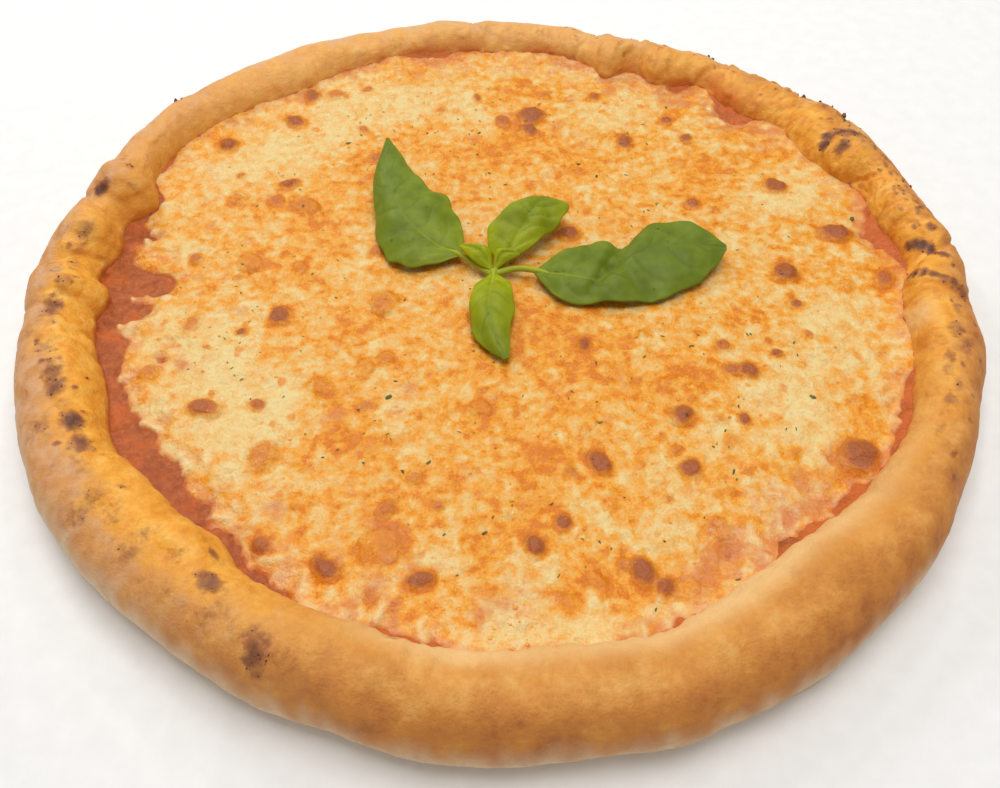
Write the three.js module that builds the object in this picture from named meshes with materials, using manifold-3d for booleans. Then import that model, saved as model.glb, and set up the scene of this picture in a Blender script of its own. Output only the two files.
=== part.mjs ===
// Margherita pizza, baked whole: a dough disc with a puffed rim, tomato sauce on it, melted cheese
// on the sauce and a sprig of basil laid in the middle.
// Millimetres, +Z up. The flat underside lies on Z = 0 and the middle of the disc is the origin.
// Angles are in degrees: 0 points along +X, 90 along +Y, which is the far side.

import * as THREE from 'three';
import { ImprovedNoise } from 'three/addons/math/ImprovedNoise.js';
import { mergeVertices } from 'three/addons/utils/BufferGeometryUtils.js';
import Module from 'manifold-3d';

// Driving dimensions.
const outerRadius = 150;
const rimWidth = { near: 25, far: 17 };
const rimHeight = { near: 23, far: 17 };
const doughThickness = 5;
const sauceTop = 7.2;
const cheeseLevel = 9.8;
const leafThickness = 0.7;
const stalkRadius = 1.2;

// Details of the section. The rim is widest at its belly and stands in from it at the base.
// On the far side its crest lies a little outward and its inner flank is a hollow slope.
const rimBelly = 9.3;
const undercut = 5;
const crestShift = 0.06;
const flankCurve = { near: 0.9, far: 1.35 };
const crestCurve = 0.9;
const cragHeight = 0.8;
const cragSize = 13;

// Pieces that touch keep this much room, so that they stay separate bodies.
const clearance = 0.3;

// The sauce rises this much where it is bare, and the cheese gets thinner to its edge.
const sauceCreep = 1.5;
const cheeseUnderside = sauceTop + clearance;
const cheeseEdgeLevel = 8.5;
const cheeseEdgeRound = 7;
const blisterRise = 0.24;

// How finely the surfaces are divided.
const stepsAround = 180;
const crestSteps = 10;
const outsideSteps = 3;
const cheeseSpacing = 5.9;
const leafColumns = 6;

// Where the outline of the rim leaves the circle.
const outlineBulges = [
  { at: 5, spread: 7, size: 3 },
  { at: 15, spread: 6, size: -2 },
  { at: 22, spread: 20, size: 3 },
  { at: 33, spread: 12, size: 3.5 },
  { at: 39, spread: 8, size: 4.5 },
  { at: 55, spread: 6, size: 3 },
  { at: 72, spread: 24, size: -3 },
  { at: 80, spread: 6, size: 1.5 },
  { at: 100, spread: 75, size: 3 },
  { at: 107, spread: 8, size: 2.5 },
  { at: 124, spread: 20, size: 3 },
  { at: 145, spread: 22, size: 4.5 },
  { at: 177, spread: 14, size: 3 },
  { at: 236, spread: 18, size: -2.5 },
  { at: 253, spread: 10, size: -2.5 },
  { at: 286, spread: 8, size: 1.5 },
  { at: 302, spread: 10, size: 1.5 },
  { at: 333, spread: 14, size: -2 },
];

// Where the rim is wider or narrower than the even change from near to far.
const widthBulges = [
  { at: 12, spread: 20, size: -3.5 },
  { at: 40, spread: 14, size: 3 },
  { at: 126, spread: 16, size: 4 },
  { at: 152, spread: 14, size: -3 },
  { at: 168, spread: 8, size: -2 },
  { at: 222, spread: 16, size: 4 },
  { at: 305, spread: 18, size: 4 },
  { at: 335, spread: 16, size: -5 },
];

// Lobes and bubbles of dough that swell inward over the sauce.
const innerLobes = [
  { at: 162, spread: 5, inward: 5, up: 2 },
  { at: 172, spread: 5, inward: 3, up: 1 },
  { at: 182.5, spread: 4, inward: 5, up: 1 },
  { at: 200, spread: 12, inward: 3, up: 0.5 },
  { at: 232, spread: 7, inward: 3, up: 1 },
  { at: 70, spread: 5, inward: 8, up: 1.5 },
  { at: 61, spread: 6, inward: 4, up: 1 },
  { at: 29, spread: 11, inward: 5, up: 1.5 },
];

// Creases that run across the crest, where the dough was pinched or folded.
const pleats = [
  { at: 4, spread: 3.5, depth: 2.4 },
  { at: 355, spread: 3.5, depth: 1.2 },
  { at: 20, spread: 3.5, depth: 1.4 },
  { at: 39, spread: 3.5, depth: 1.8 },
  { at: 53, spread: 4, depth: 1.8 },
  { at: 75, spread: 3, depth: 1 },
  { at: 94, spread: 3, depth: 1.2 },
  { at: 167, spread: 3, depth: 1.4 },
  { at: 178, spread: 3, depth: 1.4 },
  { at: 187, spread: 3, depth: 1.2 },
];

// Where the thin edge of the base stands out from under the puffed rim.
const ledges = [
  { at: 303, spread: 16, size: 4 },
  { at: 233, spread: 22, size: 3 },
];

// Bare sauce between the rim and the edge of the cheese: the gap that the cheese leaves.
const usualGap = 1.6;
const cheeseGaps = [
  { at: 12, spread: 10, size: 4 },
  { at: 48, spread: 9, size: 5 },
  { at: 68, spread: 5, size: 2 },
  { at: 97, spread: 14, size: 4 },
  { at: 114, spread: 10, size: 4.5 },
  { at: 152, spread: 8, size: 2 },
  { at: 168, spread: 3.5, size: 9 },
  { at: 179, spread: 6, size: 9 },
  { at: 185, spread: 2.8, size: 12 },
  { at: 191, spread: 7, size: 6 },
  { at: 211, spread: 13, size: 8 },
  { at: 217, spread: 3, size: 4 },
  { at: 225, spread: 8, size: 3 },
  { at: 308, spread: 14, size: 4 },
  { at: 345, spread: 14, size: 2 },
];

// The largest blisters of the cheese: middle x, middle y and diameter.
const blisters = [
  [-79, 88, 8.5], [-102, 73, 9], [-74, 104, 8], [-76, 51, 7], [-69, 39, 10], [-70, -13, 8],
  [-37, -8, 10], [12, 91, 11], [11, 83, 7.5], [47, 75, 7], [99, 50, 9], [112, 25, 11],
  [94, 6, 9], [24, 25, 8], [75, -36, 7], [-87, -50, 9], [-67, -67, 10], [-45, -102, 8.5],
  [-20, -105, 7], [53, -52, 8], [28, -69, 7.5], [53, -71, 7], [101, -67, 12], [37, -105, 13],
];

// The basil leaves. Each is a skin between a rib and two edges, which run from stalk to tip.
const leaves = [
  {
    rib: [[-13, 11, 13], [-25, 17, 16], [-33, 26, 18], [-38, 39, 18], [-42, 53, 17], [-41.5, 71, 15]],
    left: [[-14, 10, 13], [-28, 6, 12.5], [-39, 13, 12], [-43, 30, 12.5], [-45, 48, 13.5], [-42, 71, 15]],
    right: [[-12.5, 12, 13], [-13, 25, 14], [-18, 36, 15], [-26, 44, 15.5], [-34, 57, 15.5], [-41, 71, 15]],
    rows: 14,
    ripple: 0.9,
  },
  {
    rib: [
      [11, 3.5, 13], [22, 0, 15], [31, -2, 15.5], [40, 4, 17],
      [51, 10, 18], [63, 12, 17], [75, 13, 14.5],
    ],
    left: [
      [11.5, 4.2, 13], [22, 12, 14.5], [34, 15, 15.5], [42, 15, 15],
      [51, 23, 16], [65, 23, 16], [75, 14, 14.5],
    ],
    right: [
      [11, 2.8, 13], [19, -8, 12.5], [31, -10, 12], [41, -10, 12],
      [53, -8, 12], [66, 0, 12.5], [75, 12, 14.5],
    ],
    rows: 16,
    ripple: 1.1,
  },
  {
    rib: [[1, 7, 13], [4, 13, 16], [8, 20, 19], [11, 25, 21], [14, 31, 20.5], [16, 37, 16]],
    left: [[0.4, 7, 13], [-4, 13, 15], [-4, 19, 17], [2, 26, 20], [7, 32, 19.5], [15.5, 37.5, 15.6]],
    right: [[1.6, 7, 13], [9, 12, 14.5], [16, 18, 16.5], [21, 25, 17.5], [23, 32, 16.5], [16, 36.6, 15.6]],
    rows: 12,
    ripple: 0.8,
  },
  {
    rib: [[-2, 2.2, 13.2], [-3, -6, 15.5], [-3.5, -14, 16.5], [-3, -23, 15], [-0.5, -33, 12.2]],
    left: [[-2.8, 2.2, 13.2], [-8, -4, 14], [-9.5, -13, 13.5], [-8, -24, 12.4], [-1.2, -33, 12.2]],
    right: [[-1.2, 2.2, 13.2], [3.5, -4, 14], [4.5, -12, 14], [3, -21, 13.2], [0.4, -33, 12.2]],
    rows: 10,
    ripple: 0.5,
  },
  {
    rib: [[-3, 4, 13.5], [-7, 9, 17], [-13, 12, 16.5]],
    left: [[-3.6, 3.6, 13.5], [-9, 6, 15.5], [-13.4, 11.6, 16.3]],
    right: [[-2.4, 4.6, 13.5], [-4, 11.5, 16.5], [-12.7, 12.6, 16.3]],
    rows: 5,
    ripple: 0,
  },
  {
    rib: [[-1.8, 4, 13.5], [1, 8, 16.5], [6.5, 8.5, 16]],
    left: [[-2.2, 4.4, 13.5], [-1, 10, 16.5], [6.2, 9.3, 15.8]],
    right: [[-1.2, 3.6, 13.5], [3, 5.8, 15.5], [6.5, 8, 15.8]],
    rows: 5,
    ripple: 0,
  },
];

// The stalks, from the middle of the sprig into the base of each of the three longest leaves.
const stalks = [
  [[-2.4, 2.6, 12.2], [-8, 7, 12.7], [-15, 12, 13.4]],
  [[-2.4, 2.6, 12.2], [5, 4.8, 12.9], [13.5, 3, 13.4]],
  [[-2.4, 2.6, 12.8], [-0.6, 5.2, 13.1], [2, 9, 13.9]],
];
const heart = { at: [-2.2, 3.2, 13], radius: 2.1 };

const noise = new ImprovedNoise();
const wasm = await Module();
wasm.setup();

function radians(angle) {
  return angle * Math.PI / 180;
}

// One smooth hump round the circle: 1 at its middle and 0 beyond its spread.
function hump(angle, { at, spread }) {
  const away = Math.abs((angle - at + 540) % 360 - 180) / spread;
  return away < 1 ? (1 + Math.cos(Math.PI * away)) / 2 : 0;
}

function sumOfHumps(angle, list, key = 'size') {
  return list.reduce((sum, form) => sum + form[key] * hump(angle, form), 0);
}

// Changes evenly from the near side to the far side.
function nearToFar(angle, { near, far }) {
  return (near + far) / 2 + (far - near) / 2 * Math.sin(radians(angle));
}

// Smooth random unevenness, from about -1 to 1, with lumps of the given size.
function lumps(x, y, z, size) {
  return 1.6 * noise.noise(x / size + 7.3, y / size + 2.9, z / size + 4.1);
}

function outline(angle) {
  const a = radians(angle);
  const uneven = 0.9 * lumps(120 * Math.cos(a), 120 * Math.sin(a), 0, 22);
  return outerRadius + sumOfHumps(angle, outlineBulges) + uneven;
}

// The radius of the rim's inner flank, which the sauce and the cheese meet.
function flank(angle) {
  const width = nearToFar(angle, rimWidth) + sumOfHumps(angle, widthBulges);
  return outline(angle) - width - sumOfHumps(angle, innerLobes, 'inward');
}

function crestHeight(angle) {
  const a = radians(angle);
  const uneven = 1.1 * lumps(135 * Math.cos(a), 135 * Math.sin(a), 40, 30);
  return nearToFar(angle, rimHeight) + sumOfHumps(angle, innerLobes, 'up') + uneven;
}

function cheeseEdge(angle) {
  const a = radians(angle);
  const ragged = 1.3 + 1.3 * lumps(125 * Math.cos(a), 125 * Math.sin(a), 80, 9);
  const gap = usualGap + Math.max(0, ragged) + sumOfHumps(angle, cheeseGaps);
  return flank(angle) - clearance - gap;
}

function blisterHeight(x, y) {
  let height = 0;
  for (const [middleX, middleY, diameter] of blisters) {
    const away = 2 * Math.hypot(x - middleX, y - middleY) / diameter;
    if (away < 1) {
      height = Math.max(height, blisterRise * diameter * (1 - away ** 2) ** 0.7);
    }
  }
  return height;
}

// The top of the cheese at a place, from its edge, its lumps and its blisters.
function cheeseHeight(x, y) {
  const angle = (Math.atan2(y, x) * 180 / Math.PI + 360) % 360;
  const inside = cheeseEdge(angle) - Math.hypot(x, y);
  const full = THREE.MathUtils.smoothstep(inside, 0, cheeseEdgeRound);
  const uneven = 0.5 * lumps(x, y, 0, 19) + 0.3 * lumps(x, y, 30, 9);
  return cheeseEdgeLevel + full * (cheeseLevel - cheeseEdgeLevel + uneven) + blisterHeight(x, y);
}

// The section of the rim at one angle, as radius and height: up the inner flank, over the crest,
// down the outside and in under the belly to the edge of the base.
function rimSection(angle) {
  const a = radians(angle);
  const outside = outline(angle);
  const inside = flank(angle);
  const width = outside - inside;
  const crest = inside + width * (0.5 + nearToFar(angle, { near: 0, far: 1 }) * crestShift);
  const inwardCurve = nearToFar(angle, flankCurve);
  const rise = crestHeight(angle) - rimBelly;
  const pinch = sumOfHumps(angle, pleats, 'depth');
  const section = [[inside, doughThickness]];
  for (let i = 0; i <= crestSteps; i += 1) {
    const turn = Math.PI * (1 - i / crestSteps);
    const across = Math.sign(Math.cos(turn)) * Math.abs(Math.cos(turn)) ** crestCurve;
    const up = Math.sin(turn) ** (across < 0 ? inwardCurve : crestCurve);
    const radius = crest + (across < 0 ? crest - inside : outside - crest) * across;
    const crag = cragHeight * lumps(radius * Math.cos(a), radius * Math.sin(a), 15 * up, cragSize);
    const grow = up * (crag - pinch);
    section.push([radius + grow * across, rimBelly + rise * up + grow * up]);
  }
  const ledge = sumOfHumps(angle, ledges);
  for (let i = 1; i <= outsideSteps; i += 1) {
    const down = i / outsideSteps;
    const stickOut = down > 0.5 ? ledge * (2 * down - 1) : 0;
    section.push([outside - undercut * down ** 2 + stickOut, rimBelly * (1 - down)]);
  }
  return section;
}

// A closed body from a round lathe form, whose sections are then set one by one.
// A section is a list of radius and height; the body is closed to the axis at both ends.
function turnedBody(sectionAt) {
  const first = sectionAt(0);
  const profile = [[0, first[0][1]], ...first, [0, first[first.length - 1][1]]];
  const points = profile.map(([radius, height]) => new THREE.Vector2(radius, height));
  const geometry = new THREE.LatheGeometry(points, stepsAround);
  const position = geometry.getAttribute('position');
  for (let step = 0; step <= stepsAround; step += 1) {
    const angle = (step % stepsAround) * 360 / stepsAround;
    const a = radians(angle);
    sectionAt(angle).forEach(([radius, height], i) => {
      const vertex = step * profile.length + i + 1;
      position.setXYZ(vertex, radius * Math.cos(a), radius * Math.sin(a), height);
    });
    position.setXYZ(step * profile.length, 0, 0, profile[0][1]);
    position.setXYZ((step + 1) * profile.length - 1, 0, 0, profile[profile.length - 1][1]);
  }
  return closedBody(geometry);
}

// Only the shape is kept: vertices that coincide are one, faces without area are dropped,
// and the faces are turned to point out.
function closedBody(geometry) {
  geometry.deleteAttribute('normal');
  geometry.deleteAttribute('uv');
  const merged = mergeVertices(geometry, 1e-4);
  const corners = Array.from(merged.getIndex().array);
  const kept = [];
  for (let i = 0; i < corners.length; i += 3) {
    const [p, q, r] = corners.slice(i, i + 3);
    if (p !== q && q !== r && r !== p) {
      kept.push(p, q, r);
    }
  }
  merged.setIndex(kept);
  if (volumeOf(merged) < 0) {
    merged.setIndex(kept.map((_, i) => kept[i - i % 3 + [0, 2, 1][i % 3]]));
  }
  merged.computeVertexNormals();
  return merged;
}

function volumeOf(geometry) {
  const position = geometry.getAttribute('position');
  const corners = geometry.getIndex().array;
  const [p, q, r] = [new THREE.Vector3(), new THREE.Vector3(), new THREE.Vector3()];
  let volume = 0;
  for (let i = 0; i < corners.length; i += 3) {
    p.fromBufferAttribute(position, corners[i]);
    q.fromBufferAttribute(position, corners[i + 1]);
    r.fromBufferAttribute(position, corners[i + 2]);
    volume += p.dot(q.cross(r)) / 6;
  }
  return volume;
}

function makeBody(vertices, corners) {
  const geometry = new THREE.BufferGeometry();
  geometry.setAttribute('position', new THREE.Float32BufferAttribute(vertices.flat(), 3));
  geometry.setIndex(corners.flat());
  return closedBody(geometry);
}

// The dough: a thin floor under the sauce and the puffed rim round it, in one piece.
function makeCrust() {
  return turnedBody(rimSection);
}

// The sauce lies on the floor of dough, under the cheese. Where the cheese leaves it bare it
// rises a little to the flank of the rim.
function sauceSection(angle) {
  const wall = flank(angle) - clearance;
  const bareFrom = Math.min(cheeseEdge(angle) + clearance, wall - 0.5);
  const bare = wall - bareFrom;
  const creep = Math.min(sauceCreep, 0.3 * bare);
  const a = radians(angle);
  const wave = 0.4 * lumps(125 * Math.cos(a), 125 * Math.sin(a), 20, 8);
  const middle = sauceTop + creep * (0.4 + 0.5 * wave);
  return [
    [bareFrom, sauceTop],
    [bareFrom + bare / 2, middle],
    [wall, sauceTop + creep],
    [wall, doughThickness + clearance],
  ];
}

function makeSauce() {
  return turnedBody(sauceSection);
}

// Joins scattered points to triangles that are as even as possible, adding one point at a time.
// It starts with the last point, so that a round edge, listed first, is added when its inside is there.
function joinPoints(points) {
  const far = 1e5;
  const all = [...points, [-far, -far], [far, -far], [0, far]];
  const count = points.length;
  function triangle(a, b, c) {
    const [[ax, ay], [bx, by], [cx, cy]] = [all[a], all[b], all[c]];
    const [ux, uy, vx, vy] = [bx - ax, by - ay, cx - ax, cy - ay];
    const twice = 2 * (ux * vy - uy * vx);
    const [u2, v2] = [ux * ux + uy * uy, vx * vx + vy * vy];
    const x = (vy * u2 - uy * v2) / twice;
    const y = (ux * v2 - vx * u2) / twice;
    return { corners: [a, b, c], x: ax + x, y: ay + y, reach: x * x + y * y };
  }
  let triangles = [triangle(count, count + 1, count + 2)];
  for (let added = count - 1; added >= 0; added -= 1) {
    const [x, y] = points[added];
    const rimEdges = new Map();
    triangles = triangles.filter((old) => {
      if ((x - old.x) ** 2 + (y - old.y) ** 2 > old.reach) {
        return true;
      }
      old.corners.forEach((from, i) => {
        const to = old.corners[(i + 1) % 3];
        if (!rimEdges.delete(`${to} ${from}`)) {
          rimEdges.set(`${from} ${to}`, [from, to]);
        }
      });
      return false;
    });
    rimEdges.forEach(([from, to]) => triangles.push(triangle(from, to, added)));
  }
  return triangles.map(({ corners }) => corners).filter((corners) => Math.max(...corners) < count);
}

// The cheese is laid out on a true circle first, where its ragged edge is the circle itself.
// Towards the edge each place is then pulled in or out to the real edge.
const cheeseCircle = 125;
const pull = 5;

function fromCircle(x, y) {
  const angle = (Math.atan2(y, x) * 180 / Math.PI + 360) % 360;
  const share = Math.hypot(x, y) / cheeseCircle;
  const scale = 1 + (cheeseEdge(angle) / cheeseCircle - 1) * share ** (pull - 1);
  return [x * scale, y * scale];
}

function toCircle(x, y) {
  let [low, high] = [0.8, 1.3];
  for (let i = 0; i < 20; i += 1) {
    const scale = (low + high) / 2;
    if (Math.hypot(...fromCircle(x * scale, y * scale)) > Math.hypot(x, y)) {
      high = scale;
    } else {
      low = scale;
    }
  }
  return [x * low, y * low];
}

function cheesePoints() {
  const points = [];
  for (let step = 0; step < stepsAround; step += 1) {
    const a = radians(step * 360 / stepsAround);
    points.push([cheeseCircle * Math.cos(a), cheeseCircle * Math.sin(a)]);
  }
  const places = blisters.map(([x, y, diameter]) => [...toCircle(x, y), diameter / 2]);
  const edgeRoom = 0.6 * cheeseSpacing;
  for (const [x, y, radius] of places) {
    for (const [share, count] of [[0, 1], [0.6, 6], [1, 8]]) {
      for (let i = 0; i < count; i += 1) {
        const turn = 2 * Math.PI * (i + share) / count;
        const reach = share * radius * (1 + 0.05 * Math.sin(3 * turn + x));
        const [ringX, ringY] = [x + reach * Math.cos(turn), y + reach * Math.sin(turn)];
        if (Math.hypot(ringX, ringY) < cheeseCircle - 0.5 * edgeRoom) {
          points.push([ringX, ringY]);
        }
      }
    }
  }
  const rowSpacing = cheeseSpacing * Math.sqrt(3) / 2;
  const rows = Math.ceil(cheeseCircle / rowSpacing);
  const blisterRoom = 0.45 * cheeseSpacing;
  for (let row = -rows; row <= rows; row += 1) {
    for (let column = -rows; column <= rows; column += 1) {
      const evenX = cheeseSpacing * (column + Math.abs(row % 2) / 2);
      const x = evenX + 0.8 * lumps(evenX, row, 3, 3.1);
      const y = row * rowSpacing + 0.8 * lumps(evenX, row, 9, 3.1);
      const clear = places.every(([px, py, radius]) => Math.hypot(x - px, y - py) > radius + blisterRoom);
      if (clear && Math.hypot(x, y) < cheeseCircle - edgeRoom) {
        points.push([x, y]);
      }
    }
  }
  return points;
}

// The melted cheese: an uneven top with blisters, a ragged edge and a flat underside.
function makeCheese() {
  const flat = cheesePoints();
  const top = joinPoints(flat);
  const vertices = flat.map(([x, y]) => {
    const [realX, realY] = fromCircle(x, y);
    return [realX, realY, cheeseHeight(realX, realY)];
  });
  const corners = [...top];
  const below = vertices.length;
  for (let step = 0; step < stepsAround; step += 1) {
    vertices.push([vertices[step][0], vertices[step][1], cheeseUnderside]);
  }
  const middle = vertices.length;
  vertices.push([0, 0, cheeseUnderside]);
  for (let step = 0; step < stepsAround; step += 1) {
    const next = (step + 1) % stepsAround;
    corners.push([step, below + step, below + next], [step, below + next, next]);
    corners.push([middle, below + next, below + step]);
  }
  return makeBody(vertices, corners);
}

// One leaf: a thin skin across its rib and its two edges. Both faces have the same triangles.
// Where the skin would sink into the cheese it lies on it.
function makeLeaf({ rib, left, right, rows, ripple }) {
  const curves = [left, rib, right].map((line) => (
    new THREE.CatmullRomCurve3(line.map((point) => new THREE.Vector3(...point)))
  ));
  const columns = leafColumns;
  const vertices = [];
  for (let row = 0; row <= rows; row += 1) {
    const share = row / rows;
    const [edgeLeft, middle, edgeRight] = curves.map((curve) => curve.getPoint(share));
    for (let column = 0; column <= columns; column += 1) {
      const side = 2 * column / columns - 1;
      const edge = side < 0 ? edgeLeft : edgeRight;
      const place = middle.clone().lerp(edge, Math.abs(side));
      const arch = Math.sin(Math.PI * Math.abs(side)) * Math.sin(Math.PI * share);
      place.z += arch * (0.9 + ripple * Math.sin(2.5 * Math.PI * share * 2 + 1.2 * Math.sign(side)));
      place.z = Math.max(place.z, cheeseHeight(place.x, place.y) + 2 * clearance + leafThickness / 2);
      vertices.push([place.x, place.y, place.z + leafThickness / 2]);
    }
  }
  const count = vertices.length;
  vertices.push(...vertices.map(([x, y, z]) => [x, y, z - leafThickness]));
  const corners = [];
  const border = [];
  for (let row = 0; row < rows; row += 1) {
    for (let column = 0; column < columns; column += 1) {
      const a = row * (columns + 1) + column;
      const [b, c, d] = [a + 1, a + columns + 2, a + columns + 1];
      corners.push([a, b, c], [a, c, d]);
      corners.push([count + a, count + c, count + b], [count + a, count + d, count + c]);
    }
  }
  for (let column = 0; column < columns; column += 1) {
    border.push(column);
  }
  for (let row = 0; row < rows; row += 1) {
    border.push(row * (columns + 1) + columns);
  }
  for (let column = columns; column > 0; column -= 1) {
    border.push(rows * (columns + 1) + column);
  }
  for (let row = rows; row > 0; row -= 1) {
    border.push(row * (columns + 1));
  }
  border.forEach((from, i) => {
    const to = border[(i + 1) % border.length];
    corners.push([from, count + from, count + to], [from, count + to, to]);
  });
  return makeBody(vertices, corners);
}

function makeStalk(line) {
  const circle = new THREE.Shape();
  circle.absarc(0, 0, stalkRadius, 0, 2 * Math.PI, false);
  const path = new THREE.CatmullRomCurve3(line.map((point) => new THREE.Vector3(...point)));
  const options = { extrudePath: path, steps: 5, curveSegments: 4 };
  return closedBody(new THREE.ExtrudeGeometry(circle, options));
}

function makeHeart() {
  const geometry = new THREE.SphereGeometry(heart.radius, 8, 6);
  geometry.translate(...heart.at);
  return closedBody(geometry);
}

function toSolid(geometry) {
  const mesh = new wasm.Mesh({
    numProp: 3,
    vertProperties: new Float32Array(geometry.getAttribute('position').array),
    triVerts: new Uint32Array(geometry.getIndex().array),
  });
  return new wasm.Manifold(mesh);
}

// The sprig: all leaves grow from one heart on two stalks, so it is one piece.
function makeSprig() {
  const pieces = [...leaves.map(makeLeaf), ...stalks.map(makeStalk)].map(toSolid);
  const joined = pieces.reduce((sum, piece) => sum.add(piece), toSolid(makeHeart()));
  const mesh = joined.getMesh();
  const geometry = new THREE.BufferGeometry();
  geometry.setAttribute('position', new THREE.Float32BufferAttribute(mesh.vertProperties, 3));
  geometry.setIndex(Array.from(mesh.triVerts));
  return closedBody(geometry);
}

function addPiece(group, name, geometry, color, roughness) {
  const mesh = new THREE.Mesh(geometry, new THREE.MeshStandardMaterial({ color, roughness, metalness: 0 }));
  mesh.name = name;
  group.add(mesh);
}

const pizza = new THREE.Group();
addPiece(pizza, 'crust', makeCrust(), 0xd39a5a, 0.7);
addPiece(pizza, 'sauce', makeSauce(), 0xb54a2c, 0.35);
addPiece(pizza, 'cheese', makeCheese(), 0xf0c870, 0.35);
addPiece(pizza, 'basil_sprig', makeSprig(), 0x5f8440, 0.5);

export default pizza;
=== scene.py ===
# %% [markdown]
# # A margherita pizza
# This lesson dresses a plain solid model of a baked pizza until it looks like food: a puffed rim of
# baked dough, moist tomato sauce, melted cheese with brown blisters, and a sprig of fresh basil.
# The solid model already has the true size and the main forms. It is loaded first, and everything
# that follows is worked out from it, in metres, in the same frame: +Z is up and the middle of the
# flat underside is the origin. Lengths in the tables are in millimetres, as a baker would measure.

# %% The solid model
from itertools import product
from math import cos, pi, radians, sin

import bpy
import numpy as np
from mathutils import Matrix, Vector


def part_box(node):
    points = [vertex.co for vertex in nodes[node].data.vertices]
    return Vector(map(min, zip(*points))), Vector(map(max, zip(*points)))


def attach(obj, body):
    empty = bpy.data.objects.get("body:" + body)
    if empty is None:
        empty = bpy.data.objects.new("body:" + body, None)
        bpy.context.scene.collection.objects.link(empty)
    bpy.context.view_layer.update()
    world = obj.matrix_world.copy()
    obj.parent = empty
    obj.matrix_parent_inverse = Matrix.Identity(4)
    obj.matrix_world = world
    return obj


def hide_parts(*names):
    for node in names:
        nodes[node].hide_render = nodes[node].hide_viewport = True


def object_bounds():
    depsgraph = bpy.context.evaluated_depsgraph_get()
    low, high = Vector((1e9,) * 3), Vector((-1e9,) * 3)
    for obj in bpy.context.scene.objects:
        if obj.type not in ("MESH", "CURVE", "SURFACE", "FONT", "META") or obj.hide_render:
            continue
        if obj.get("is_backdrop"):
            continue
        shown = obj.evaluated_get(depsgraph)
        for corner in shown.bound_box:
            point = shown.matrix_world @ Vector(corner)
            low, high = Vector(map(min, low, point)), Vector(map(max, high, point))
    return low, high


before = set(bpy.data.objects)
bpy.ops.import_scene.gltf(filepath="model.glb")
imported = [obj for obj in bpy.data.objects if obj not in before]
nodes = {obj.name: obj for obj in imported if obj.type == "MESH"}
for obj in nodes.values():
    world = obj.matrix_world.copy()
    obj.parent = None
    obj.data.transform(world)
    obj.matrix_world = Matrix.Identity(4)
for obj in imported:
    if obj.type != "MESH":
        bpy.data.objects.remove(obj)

solid_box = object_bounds()
MM = 0.001
for name in nodes:
    low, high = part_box(name)
    print(name, "reaches from", [round(v / MM) for v in low], "to", [round(v / MM) for v in high], "mm")

# %% [markdown]
# ## Colours
# A colour that is read off a picture is sRGB, which is what a hex value such as #e0a35c means, but
# shaders add and mix light, and so they want linear values. One function does the change.

# %% From hex to linear


def linear(hex_colour):
    """The linear red, green, blue and alpha of an sRGB hex colour."""
    parts = [int(hex_colour[i:i + 2], 16) / 255 for i in (1, 3, 5)]
    return (*[p / 12.92 if p <= 0.04045 else ((p + 0.055) / 1.055) ** 2.4 for p in parts], 1)


print("the pale lip of the rim is", [round(v, 3) for v in linear("#eaae5e")])

# %% [markdown]
# ## Adding nodes
# A material is a small graph. This function adds one node, sets its own settings, and fills its
# sockets: a plain value is typed in, and a node or a socket is linked. Two nodes' names for the same
# socket can be hidden, so only the sockets in use are searched by name.

# %% One function for every node


def connect(node, inputs):
    """Fills sockets, found by name or number, with values or with other nodes' outputs."""
    for key, value in inputs.items():
        if isinstance(key, int):
            socket = node.inputs[key]
        else:
            socket = next(s for s in node.inputs if s.enabled and s.name == key)
        if isinstance(value, bpy.types.Node):
            value = next(s for s in value.outputs if s.enabled)
        if isinstance(value, bpy.types.NodeSocket):
            node.id_data.links.new(value, socket)
        else:
            socket.default_value = value


def add_node(material, kind, inputs={}, **settings):
    """Adds a shader node of one kind, with its settings and what goes into it."""
    node = material.node_tree.nodes.new("ShaderNode" + kind)
    for setting, value in settings.items():
        setattr(node, setting, value)
    connect(node, inputs)
    return node


def new_material(name):
    """A material with its shader, whose sockets the caller fills."""
    material = bpy.data.materials.new(name)
    material.use_nodes = True
    return material, material.node_tree.nodes["Principled BSDF"]


def set_stops(ramp, stops):
    """Places the colours of a colour ramp, given as (position, hex colour)."""
    elements = ramp.color_ramp.elements
    while len(elements) < len(stops):
        elements.new(0.5)
    for element, (position, colour) in zip(elements, stops):
        element.position = position
        element.color = linear(colour)


helpers = (connect, add_node, new_material, set_stops)
print("helpers for materials:", [helper.__name__ for helper in helpers])

# %% [markdown]
# ## Unevenness
# Nothing baked is even. Gradient noise gives smooth lumps of a chosen size: every point of a
# lattice gets a direction from a hash of its place, and the lumps are blended between them. It is
# written for whole arrays of points, so a hundred thousand vertices take a moment, and it has no
# random state, so the same pizza comes out on every run.

# %% Smooth lumps
EDGES = np.array([d for d in product((-1, 0, 1), repeat=3) if sum(map(abs, d)) == 2], float)
# Large odd numbers, which stir the bits of a lattice corner until its direction looks drawn by lot.
STIR = (73856093, 19349663, 83492791)
STIR_SEED, STIR_ALL, KEPT_BITS = 668265263, 1274126177, 0x7FFFFFFF
SEED_SHIFT = 11.37
FULL_SWING = 1.3


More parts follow.
